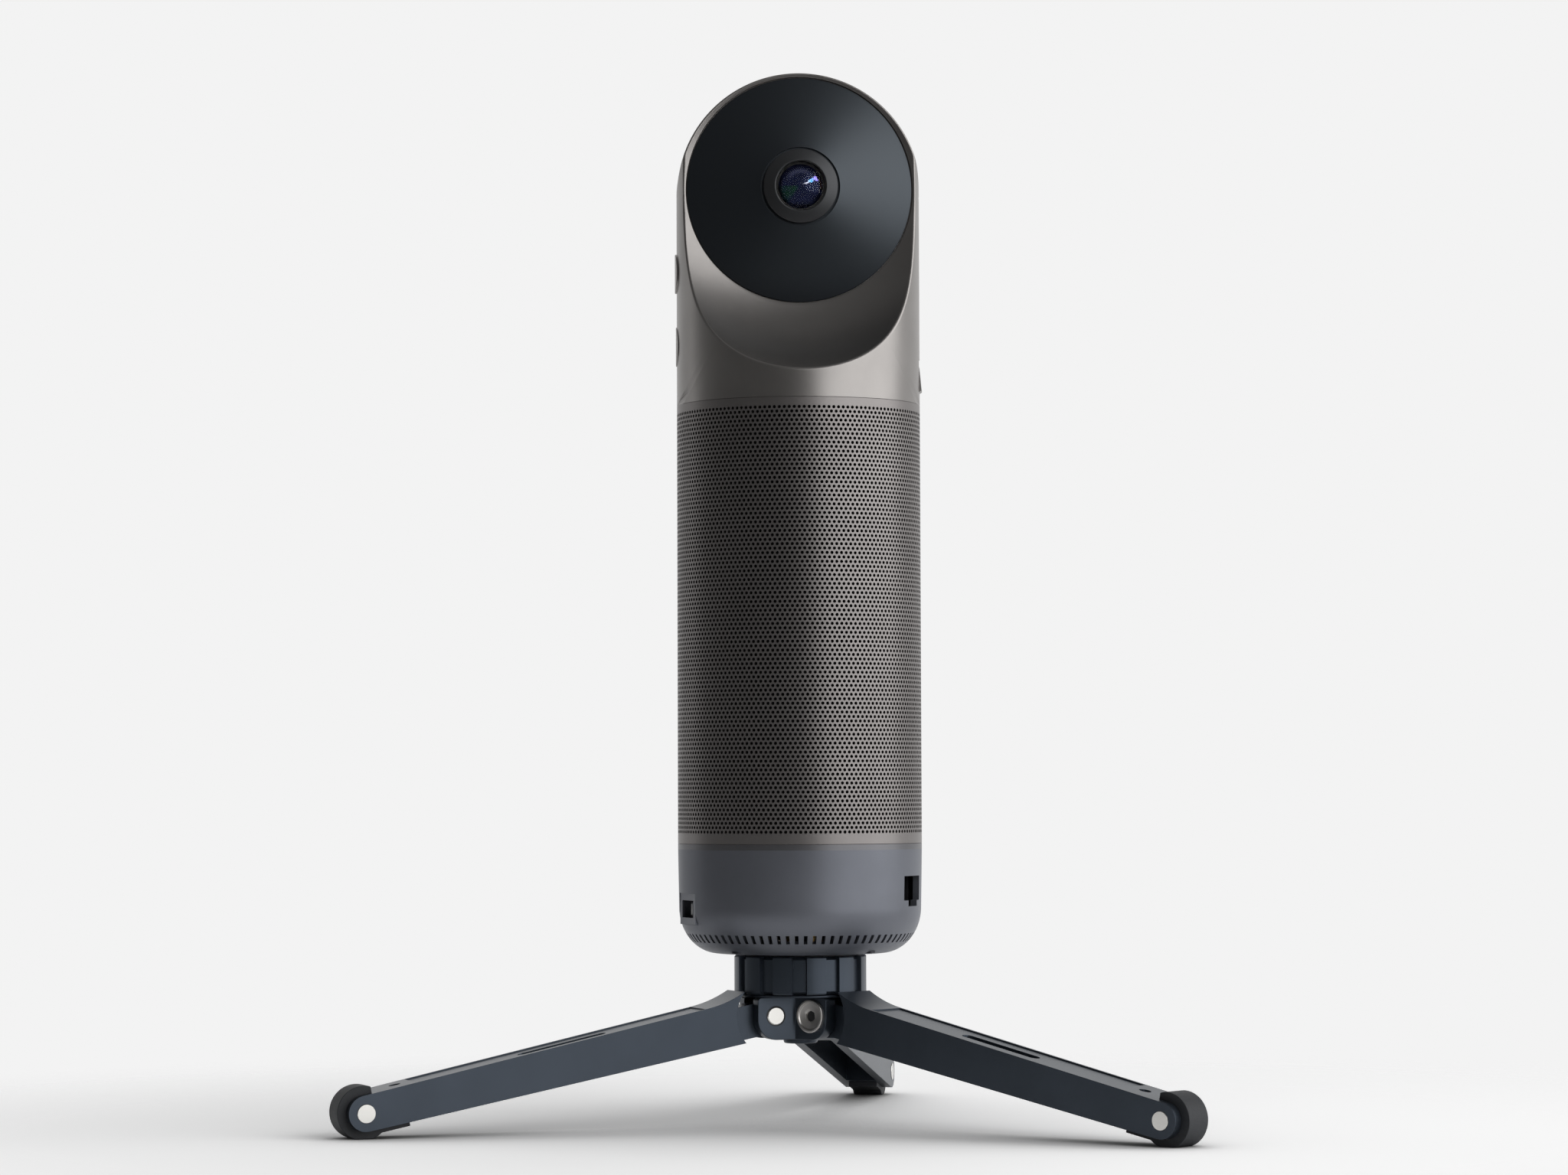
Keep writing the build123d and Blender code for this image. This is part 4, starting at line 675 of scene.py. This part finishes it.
# Head shell: its scoops and recesses, by distance from the lens axis and from the middle plane
shell_wall = 2.0 * MM
scoop_start_depth = 11.0 * MM
scoop_lip = 0.93 * MM
scoop_spread = 21.92 * MM
scoop_arc_radius = 35.6 * MM
recess_depth = 9.8 * MM
ledge_thickness = 2.0 * MM
ledge_width = 2.4 * MM
rim_rounding = 0.9 * MM
seat_rounding = 0.12 * MM
inner_radius = body_radius - shell_wall
scoop_start_radius = sqrt(body_radius**2 - scoop_start_depth**2) - scoop_lip
window_radius = scoop_start_radius - ledge_width
scoop_rise = body_radius - scoop_start_depth
half_chord = hypot(scoop_spread, scoop_rise) / 2
arc_offset = sqrt(scoop_arc_radius**2 - half_chord**2)
scoop_centre = (
    scoop_start_radius + scoop_spread / 2 - arc_offset * scoop_rise / (2 * half_chord),
    (scoop_start_depth + body_radius) / 2 + arc_offset * scoop_spread / (2 * half_chord),
)


# Mesh of the head: step in degrees, points of each stretch and shares of a stretch that a curve may take
head_step = 1.5
halvings = 40
curve_steps = 60
wall_rows = 7
rim_rows = 9
scoop_rows = 34
seat_rows = 3
back_rows = 8
inner_rows = 10
outer_leg_share = 0.4
scoop_leg_share = 0.55
seat_leg_share = 0.3
join_distance = 0.0004 * MM
sliver_distance = 0.0002 * MM


def scoop_point(angle, growth=0.0):
    """Point on the scoop's arc, as (distance from the lens axis, depth)."""
    reach = scoop_arc_radius + growth
    return scoop_centre[0] + reach * cos(angle), scoop_centre[1] + reach * sin(angle)


def scoop_angle_at(radius, growth=0.0):
    """Angle on the scoop's arc at a distance from the lens axis."""
    return -acos((radius - scoop_centre[0]) / (scoop_arc_radius + growth))


def crown_reach(turn, radius):
    """Distance from the lens axis to the round top of a radius, whose centre is a little below it."""
    return sqrt(radius**2 - (lens_rise * cos(turn)) ** 2) - lens_rise * sin(turn)


def under_crown(turn, radius):
    """Whether the round top, and not the straight side, ends the head at a turn about the lens axis."""
    return crown_reach(turn, radius) * sin(turn) > -lens_rise


def crown_crease(turn, radius):
    """Depth at which the round top meets the upright cylinder."""
    if not under_crown(turn, radius):
        return 0.0
    return sqrt(max(radius**2 - (crown_reach(turn, radius) * cos(turn)) ** 2, 0.0))


def scoop_end_angle(turn, start, radius, growth=0.0):
    """Angle at which the scoop's arc leaves the head's outline of a radius, found by halving."""
    low, high = start, 0.0
    for _ in range(halvings):
        middle = (low + high) / 2
        out, depth = scoop_point(middle, growth)
        above = under_crown(turn, radius) and out > crown_reach(turn, radius)
        beyond = above or hypot(depth, out * cos(turn)) > radius
        low, high = (low, middle) if beyond else (middle, high)
    return (low + high) / 2


def wall_curve(turn, end, radius):
    """Outline of a wall at a turn about the lens axis, from the middle plane or the floor to its end."""
    if under_crown(turn, radius):
        crown = crown_reach(turn, radius)
        crease = crown_crease(turn, radius)
        half = curve_steps // 2
        if crease < end[1]:
            depths = [crease * k / half for k in range(half)]
            depths += [crease + (end[1] - crease) * k / half for k in range(half + 1)]
        else:
            depths = [end[1] * k / curve_steps for k in range(curve_steps + 1)]
        return [(min(crown, sqrt(radius**2 - d**2) / max(abs(cos(turn)), tiny)), d) for d in depths]
    start = min(radius / max(abs(cos(turn)), tiny), head_drop / max(-sin(turn), tiny))
    outs = [start + (end[0] - start) * (k / curve_steps) ** 2 for k in range(curve_steps + 1)]
    return [(out, sqrt(max(radius**2 - (out * cos(turn)) ** 2, 0.0))) for out in outs]


def resample(points, count):
    """The same curve with evenly spaced points."""
    points = np.array(points)
    lengths = np.concatenate([[0.0], np.cumsum(np.hypot(*np.diff(points, axis=0).T))])
    places = np.linspace(0.0, lengths[-1], count)
    spaced = [np.interp(places, lengths, points[:, k]) for k in (0, 1)]
    return [(float(a), float(b)) for a, b in zip(*spaced)]


def split_at(points, distance):
    """Cuts a curve at a distance before its end, and gives the part before the cut."""
    points = np.array(points)
    lengths = np.concatenate([[0.0], np.cumsum(np.hypot(*np.diff(points, axis=0).T))])
    place = max(lengths[-1] - distance, 0.0)
    cut = tuple(float(np.interp(place, lengths, points[:, k])) for k in (0, 1))
    return [tuple(map(float, p)) for p, reach in zip(points, lengths) if reach < place] + [cut]


def curve_length(points):
    """Length of a curve of points."""
    return float(np.sum(np.hypot(*np.diff(np.array(points), axis=0).T)))


def turned_corner(start, corner, end, steps):
    """A smooth curve from start to end that bends towards the corner, without its two ends."""
    made = []
    for step in range(1, steps):
        t = step / steps
        made.append(
            tuple(a * (1 - t) ** 2 + c * 2 * t * (1 - t) + b * t**2 for a, c, b in zip(start, corner, end))
        )
    return made


def head_column(turn):
    """Half section of the head at a turn about the lens axis, from the middle plane out, round and back."""
    start_angle = scoop_angle_at(scoop_start_radius)
    end_angle = scoop_end_angle(turn, start_angle, body_radius)
    rim = scoop_point(end_angle)
    outer = wall_curve(turn, rim, body_radius)
    span = end_angle - start_angle
    scoop = [scoop_point(start_angle + span * k / curve_steps) for k in range(curve_steps + 1)]
    outer_leg = min(rim_rounding, curve_length(outer) * outer_leg_share)
    scoop_leg = min(rim_rounding, curve_length(scoop) * scoop_leg_share)
    outer_cut, scoop_cut = split_at(outer, outer_leg), split_at(scoop, scoop_leg)
    crease = crown_crease(turn, body_radius)
    if 0 < crease < outer_cut[-1][1]:
        low = [p for p in outer_cut if p[1] <= crease + tiny]
        high = [p for p in outer_cut if p[1] >= crease - tiny]
        column = resample(low, wall_rows) + resample(high, wall_rows)[1:]
    else:
        column = resample(outer_cut, 2 * wall_rows - 1)
    column += turned_corner(outer_cut[-1], rim, scoop_cut[-1], rim_rows)
    start_leg = min(seat_rounding, curve_length(scoop_cut) * seat_leg_share)
    back = split_at(scoop_cut[::-1], start_leg)
    column += resample(back, scoop_rows)
    corner = (scoop_start_radius, scoop_start_depth)
    wall_top = (scoop_start_radius, scoop_start_depth - seat_rounding)
    column += turned_corner(back[-1], corner, wall_top, seat_rows) + [wall_top]
    column += [(scoop_start_radius, recess_depth), (window_radius, recess_depth)]
    ledge_floor = recess_depth - ledge_thickness
    column += [(window_radius, ledge_floor)]
    inner_start = scoop_start_radius + shell_wall
    reach = min(sqrt(inner_radius**2 - ledge_floor**2) / max(abs(cos(turn)), tiny), 1.0)
    if sin(turn) < 0 and reach > inner_start:
        first = scoop_angle_at(inner_start, shell_wall)
        last = scoop_end_angle(turn, first, inner_radius, shell_wall)
        column += [(inner_start, ledge_floor)]
        for k in range(back_rows + 1):
            column.append(scoop_point(first + (last - first) * k / back_rows, shell_wall))
    else:
        reach = min(reach, crown_reach(turn, inner_radius)) if under_crown(turn, inner_radius) else reach
        column += [(reach, ledge_floor)] * (back_rows + 2)
    inner = wall_curve(turn, column[-1], inner_radius)[::-1]
    column += resample(inner, inner_rows)[1:]
    return column


def head_skin():
    """Vertices and faces of the head shell's two halves, before its openings are cut."""
    turns = {round(k * head_step, 6) for k in range(int(360 / head_step))}
    floor_turns = [degrees(atan2(head_drop, radius)) for radius in (body_radius, inner_radius)]
    turns |= {round(360 - turn, 6) for turn in floor_turns} | {round(180 + turn, 6) for turn in floor_turns}
    turns = sorted(turns)
    columns = [head_column(radians(turn)) for turn in turns]
    depth_count = len(columns[0])
    vertices, faces = [], []
    for side in (-1, 1):
        offset = len(vertices)
        for turn, column in zip(turns, columns):
            angle = radians(turn)
            for out, depth in column:
                vertices.append((out * cos(angle), side * depth, lens_height + out * sin(angle)))
        for here in range(len(turns)):
            there = (here + 1) % len(turns)
            near, far = offset + here * depth_count, offset + there * depth_count
            for row in range(depth_count - 1):
                face = [near + row, far + row, far + row + 1, near + row + 1]
                faces.append(face if side < 0 else face[::-1])
    return vertices, faces


def closed_head_mesh():
    """The head's mesh with its halves joined and its lower edge closed."""
    vertices, faces = head_skin()
    mesh = bpy.data.meshes.new("head_skin")
    mesh.from_pydata(vertices, [], faces)
    shape = bmesh.new()
    shape.from_mesh(mesh)
    bmesh.ops.remove_doubles(shape, verts=shape.verts, dist=join_distance)
    bmesh.ops.dissolve_degenerate(shape, edges=shape.edges, dist=sliver_distance)
    loose = [edge for edge in shape.edges if len(edge.link_faces) == 1]
    bmesh.ops.bridge_loops(shape, edges=loose)
    bmesh.ops.recalc_face_normals(shape, faces=shape.faces)
    shape.to_mesh(mesh)
    shape.free()
    return mesh


# Openings in the head: the push buttons on the left and the card flap on the right
button_gap = 0.06 * MM
flap_low, flap_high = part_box("card_flap")
button_radius = 6.0 * MM
flap_side_gap = 0.2 * MM
flap_edge_gap = 0.2 * MM
flap_hinge_gap = 0.4 * MM
cutter_depth = 5 * shell_wall
button_turns = 96


def cut(piece, cutters):
    """Takes the cutters out of a piece, and deletes them."""
    for cutter in cutters:
        modifier = piece.modifiers.new("cut", "BOOLEAN")
        modifier.operation, modifier.solver, modifier.object = "DIFFERENCE", "EXACT", cutter
    bake(piece)
    for cutter in cutters:
        bpy.data.objects.remove(cutter)


def shaped_object(shape, name):
    """An object in the scene made of a bmesh, which it frees."""
    mesh = bpy.data.meshes.new(name)
    shape.to_mesh(mesh)
    shape.free()
    return placed(name, mesh)


def head():
    """The head shell with softened rims, cut out for its buttons and card flap."""
    mesh = closed_head_mesh()
    piece = placed("head_skin", mesh)
    cutters = []
    for name in ("button_upper", "button_lower"):
        low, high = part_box(name)
        shape = bmesh.new()
        turn = Matrix.Translation((-body_radius, 0, (low.z + high.z) / 2)) @ Matrix.Rotation(pi / 2, 4, "Y")
        radius = button_radius + button_gap
        cone = dict(cap_ends=True, segments=button_turns, depth=cutter_depth)
        bmesh.ops.create_cone(shape, radius1=radius, radius2=radius, matrix=turn, **cone)
        cutters.append(shaped_object(shape, f"{name}_cutter"))
    shape = bmesh.new()
    tall = flap_high.z - flap_low.z + flap_edge_gap + flap_hinge_gap
    wide = 2 * (flap_high.y + flap_side_gap)
    place = Matrix.Translation((body_radius, 0, flap_low.z - flap_edge_gap + tall / 2))
    bmesh.ops.create_cube(shape, size=1.0, matrix=place @ Matrix.Diagonal((cutter_depth, wide, tall, 1)))
    cutters.append(shaped_object(shape, "flap_cutter"))
    cut(piece, cutters)
    piece.data.materials.clear()
    piece.data.materials.append(materials["head_metal"])
    smooth(piece.data, head_sharp)
    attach(piece, "camera")
    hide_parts("head_shell")


# Faces of the push buttons
button_edge = 0.25 * MM
button_steps = 12
edge_share = 0.3


def push_button(name):
    """A round push button whose face follows the body's curve."""
    low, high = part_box(name)
    face_radius, level, turns = -low.x, (low.z + high.z) / 2, button_turns
    rows = [(button_radius - button_edge) * (k + 1) / button_steps for k in range(button_steps)]
    rows = [(radius, 0.0) for radius in rows]
    soft = edge_share * button_edge
    rows += [(button_radius - soft, soft), (button_radius, button_edge), (button_radius, shell_wall)]
    vertices = [(-face_radius, 0, level)]
    for radius, inset in rows:
        for k in range(turns):
            across = radius * cos(2 * pi * k / turns)
            out = sqrt(face_radius**2 - across**2) - inset
            vertices.append((-out, across, level + radius * sin(2 * pi * k / turns)))
    faces = [(0, 1 + (k + 1) % turns, 1 + k) for k in range(turns)]
    for row in range(len(rows) - 1):
        near, far = 1 + row * turns, 1 + (row + 1) * turns
        faces += [(near + k, near + (k + 1) % turns, far + (k + 1) % turns, far + k) for k in range(turns)]
    last = 1 + (len(rows) - 1) * turns
    faces.append(tuple(last + k for k in range(turns)))
    new_piece(f"{name}_face", vertices, faces, "head_metal", node_bodies[name], (name,), sharp=40)


# Lens units: cover, bezel, glass and the elements inside, by radius and distance from the middle plane
lens_cover_gap = 0.3 * MM
cover_wall = 1.6 * MM
cover_hub_radius = 11.85 * MM
cover_hub_depth = 19.4 * MM
cover_hole_radius = 9.1 * MM
groove_depth = 0.7 * MM
ring_radius = 11.2 * MM
ring_edge = 20.5 * MM
ring_inner = 7.5 * MM
ring_top = 21.8 * MM
glass_radius = 7.3 * MM
glass_edge = 21.0 * MM
glass_top = 23.4 * MM
glass_wall = 0.5 * MM
element_radius = 6.75 * MM
element_edge = 19.9 * MM
element_top = 22.3 * MM
barrel_front = 19.2 * MM
groove_width = 0.3 * MM
bezel_slope = 0.3 * MM
fine_rounding = 0.1 * MM
hub_rounding = 0.15 * MM
edge_rounding = 0.2 * MM
bezel_rounding = 0.3 * MM
bore_rounding = 0.05 * MM
dome_steps = 12


def dome(radius, edge, top):
    """Curve of a domed surface from its middle to its edge."""
    rise = top - edge
    sphere = (radius**2 + rise**2) / (2 * rise)
    span = asin(radius / sphere)
    angles = [span * k / dome_steps for k in range(dome_steps + 1)]
    return [(sphere * sin(angle), top - sphere * (1 - cos(angle))) for angle in angles]


def lens_unit(side, face):
    """One lens with its cover and bezel, rounded more finely than the plain solids."""
    place = lens_point(side)
    cover_radius = scoop_start_radius - lens_cover_gap
    outline = [
        (cover_hole_radius, cover_hub_depth, fine_rounding),
        (ring_radius - groove_width, cover_hub_depth, 0.0),
        (ring_radius - groove_width, cover_hub_depth - groove_depth, 0.0),
        (cover_hub_radius, cover_hub_depth - groove_depth, fine_rounding),
        (cover_hub_radius, cover_hub_depth + fine_rounding, hub_rounding),
        (cover_radius, scoop_start_depth, edge_rounding),
        (cover_radius, recess_depth, fine_rounding),
        (window_radius - cover_wall, recess_depth, 0.0),
        (ring_radius, cover_hub_depth - cover_wall, 0.0),
        (cover_hole_radius, cover_hub_depth - cover_wall, 0.0),
    ]
    vertices, faces = lathe(rounded_outline(outline), place)
    new_piece(f"cover_{face}", vertices, faces, "cover_black", "camera", (f"lens_cover_{face}",))
    bezel = [
        (ring_inner, cover_hub_depth, 0.0),
        (ring_radius, cover_hub_depth, 0.0),
        (ring_radius, ring_edge, bezel_rounding),
        (ring_inner + bezel_slope, ring_top, edge_rounding),
        (ring_inner, ring_top - bezel_slope, bore_rounding),
    ]
    vertices, faces = lathe(rounded_outline(bezel), place)
    new_piece(f"bezel_{face}", vertices, faces, "ring_black", "camera", (f"lens_ring_{face}",), sharp=28)
    front = dome(glass_radius, glass_edge, glass_top)
    back = dome(glass_radius - glass_wall, glass_edge - glass_wall, glass_top - glass_wall)
    shell = front + [(glass_radius, glass_edge - glass_wall)] + back[::-1]
    vertices, faces = lathe(shell, place, turns=128, closed=False)
    new_piece(f"glass_{face}", vertices, faces, "lens_glass", "camera", (f"lens_glass_{face}",), sharp=40)
    profile = dome(element_radius, element_edge, element_top)
    profile += [(element_radius, barrel_front), (0.0, barrel_front)]
    vertices, faces = lathe(profile, place, turns=96, closed=False)
    coating = coating_with_painted_light(f"coating_{face}", side, element_radius)
    replaced = (f"lens_glass_{face}",)
    new_piece(f"element_{face}", vertices, faces, "lens_glass", "camera", replaced, coating, sharp=40)


# Pivot screws with a disc of painted shade in each socket, and rings of painted shade round the pins, of the
# tripod's hub
hub_half_width = 8.3 * MM
screw_radius = 5.0 * MM
screw_height = 1.1 * MM
dish_radius = 4.0 * MM
dish_depth = 0.5 * MM
socket_half = 1.6 * MM
socket_floor = -0.9 * MM
pin_radius = 2.75 * MM
shade_ring_width = 0.28 * MM
shade_ring_height = 0.03 * MM
screw_edge = 0.3 * MM
dish_rounding = 0.1 * MM
dish_lip = 0.15 * MM
dish_slope = 0.1 * MM
socket_point = 0.4 * MM
shade_plug_thickness = 0.3 * MM

# Shares of the socket's half width, and shares of the dish's depth for depths below the screw's top
rim_width_share = 1.35
shade_plug_width_share = 0.98
rim_drop_share = 1.25
socket_drop_share = 1.5
shade_plug_drop_share = 2.6


def hexagon(half):
    """Radius of a hexagon at an angle, from half its width across the flats."""
    return lambda angle: half / cos(angle % (pi / 3) - pi / 6)


def turned_frame(centre, outward):
    """Turns a radius, a distance outward and an angle about an axis into a point."""
    sideways = outward.orthogonal().normalized()
    upright = outward.cross(sideways)
    return lambda radius, out, angle: tuple(
        centre + outward * out + (sideways * cos(angle) + upright * sin(angle)) * radius
    )


def pivots():
    """The dished screw of each leg's pivot, a dark disc of painted shade in its socket and a dark ring of
    painted shade round the pin.
    """
    for joint in frame["record"]["behaviour"]["joints"]:
        if not joint["name"].startswith("leg_"):
            continue
        number = joint["name"].split("_")[1]
        centre, outward = Vector(joint["pos_m"]), -Vector(joint["axis"]).normalized()
        place = turned_frame(centre + outward * hub_half_width, outward)
        outline = [
            (screw_radius, 0.0, 0.0),
            (screw_radius, screw_height, screw_edge),
            (dish_radius + dish_lip, screw_height, dish_rounding),
            (dish_radius - dish_slope, screw_height - dish_depth, dish_rounding),
            (socket_half * rim_width_share, screw_height - dish_depth * rim_drop_share, dish_rounding),
        ]
        top, socket = screw_height - dish_depth * socket_drop_share, hexagon(socket_half)
        profile = [(screw_radius, 0.0)] + rounded_outline(outline, 4)[1:]
        profile += [(socket, top), (socket, socket_floor), (0.0, socket_floor - socket_point)]
        vertices, faces = lathe(profile, place, turns=96, closed=False)
        body = node_bodies[f"pivot_screw_{number}"]
        slot = node_slots[f"pivot_screw_{number}"]
        finish = materials["screw_steel"]
        replaced = (f"pivot_screw_{number}",)
        new_piece(f"screw_face_{number}", vertices, faces, slot, body, replaced, finish, sharp=30)
        # Painted shade: a dark disc set inside the hex socket stands for the shade deep in it
        high, shade_plug = screw_height - dish_depth * shade_plug_drop_share, hexagon(socket_half * shade_plug_width_share)
        low = high - shade_plug_thickness
        profile = [(0.0, high), (shade_plug, high), (shade_plug, low), (0.0, low)]
        vertices, faces = lathe(profile, place, turns=24, closed=False)
        new_piece(f"socket_floor_{number}", vertices, faces, "port_black", body)
        # Painted shade: a thin dark ring round the pin's end stands for the shade in the gap round it
        place = turned_frame(centre - outward * hub_half_width, -outward)
        shade_ring_radius = pin_radius + shade_ring_width
        ring = [(pin_radius, 0.0), (shade_ring_radius, 0.0), (shade_ring_radius, shade_ring_height), (pin_radius, shade_ring_height)]
        vertices, faces = lathe(ring, place, turns=64)
        new_piece(f"pin_shade_ring_{number}", vertices, faces, "rubber", body)


# Dark flange round the hub's top, which closes the view over the legs' roots
flange_inner = 13.0 * MM
flange_outer = 18.8 * MM
flange_edge = 0.2 * MM
flange_drop = 0.75 * MM
flange_gap = 0.02 * MM


def upright_point(radius, along, angle):
    """A point from its distance to the body's axis, its height and its angle."""
    return radius * cos(angle), radius * sin(angle), along


def hub_flange():
    """A thin ring that ends just under the hub's highest point."""
    hub_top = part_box("tripod_hub")[1].z
    low, high = hub_top - flange_drop, hub_top - flange_gap
    profile = [
        (flange_inner, low),
        (flange_outer - flange_edge, low),
        (flange_outer, low + flange_edge),
        (flange_outer, high - flange_edge),
        (flange_outer - flange_edge, high),
        (flange_inner, high),
    ]
    vertices, faces = lathe(profile, upright_point, turns=96)
    new_piece("hub_flange", vertices, faces, "tripod_black", "tripod")


# Ports: azimuths in degrees, and the USB port's surround and mouth by height above the body's floor
usb_azimuth = 197.0
network_azimuth = 334.8
surround_radius = 35.9 * MM
surround_thickness = 0.7 * MM
surround_width = 14.3 * MM
surround_low = 8.95 * MM
surround_high = 18.3 * MM
mouth_width = 10.4 * MM
mouth_low = 11.0 * MM
mouth_high = 16.2 * MM
mouth_sizes = (mouth_width, mouth_low, mouth_high)
surround_sizes = (surround_width, surround_low, surround_high)

# Pale blocks in the ports: azimuth, radius, thickness, distance across, width, low and high
port_blocks = {
    # The first block is a pale upright strip set in the USB port's mouth
    "usb_mouth_block": (usb_azimuth, 34.9 * MM, 0.5 * MM, 0.9 * MM, 1.4 * MM, 11.9 * MM, 15.2 * MM),
    "network_contacts": (network_azimuth, 32.0 * MM, 0.5 * MM, 0.6 * MM, 0.7 * MM, 17.2 * MM, 22.4 * MM),
}


def port_block(name, azimuth, radius, thickness, across, width, low, high):
    """A small pale block inside a port, which shows in its mouth."""
    turn = radians(azimuth)
    shape = bmesh.new()
    middle = (radius - thickness / 2, across, body_floor + (low + high) / 2)
    place = Matrix.Rotation(turn, 4, "Z") @ Matrix.Translation(middle)
    bmesh.ops.create_cube(shape, size=1.0, matrix=place @ Matrix.Diagonal((thickness, width, high - low, 1)))
    piece = shaped_object(shape, name)
    piece.data.materials.append(materials["pale_plastic"])
    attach(piece, "camera")


def usb_surround():
    """A thin plate with the port's mouth in it, a little below the base's surface."""
    turn = radians(usb_azimuth)
    vertices = []
    for radius in (surround_radius, surround_radius - surround_thickness):
        for width, low, high in (surround_sizes, mouth_sizes):
            corners = [(-width / 2, low), (width / 2, low), (width / 2, high), (-width / 2, high)]
            for across, height in corners:
                x = radius * cos(turn) - across * sin(turn)
                y = radius * sin(turn) + across * cos(turn)
                vertices.append((x, y, body_floor + height))
    front_outer, front_inner, back_outer, back_inner = (range(4 * n, 4 * n + 4) for n in range(4))
    faces = []
    for first, second in (
        (front_outer, front_inner),
        (front_inner, back_inner),
        (back_inner, back_outer),
        (back_outer, front_outer),
    ):
        for k in range(4):
            faces.append([first[k], first[(k + 1) % 4], second[(k + 1) % 4], second[k]])
    new_piece("usb_surround", vertices, faces, "base_plastic", "camera")


camera()
lamps()
world()
floor()
dress_nodes()
grille()
head()
for button in ("button_upper", "button_lower"):
    push_button(button)
for side, face in ((-1, "front"), (1, "rear")):
    lens_unit(side, face)
pivots()
hub_flange()
usb_surround()
for block, sizes in port_blocks.items():
    port_block(block, *sizes)
numbered = [f"{piece}_{number}" for piece in ("leg", "foot") for number in (1, 2, 3)]
for node in ("tripod_hub", "locking_collar", *numbered):
    soften(node)

bpy.context.scene.view_settings.view_transform = "Standard"
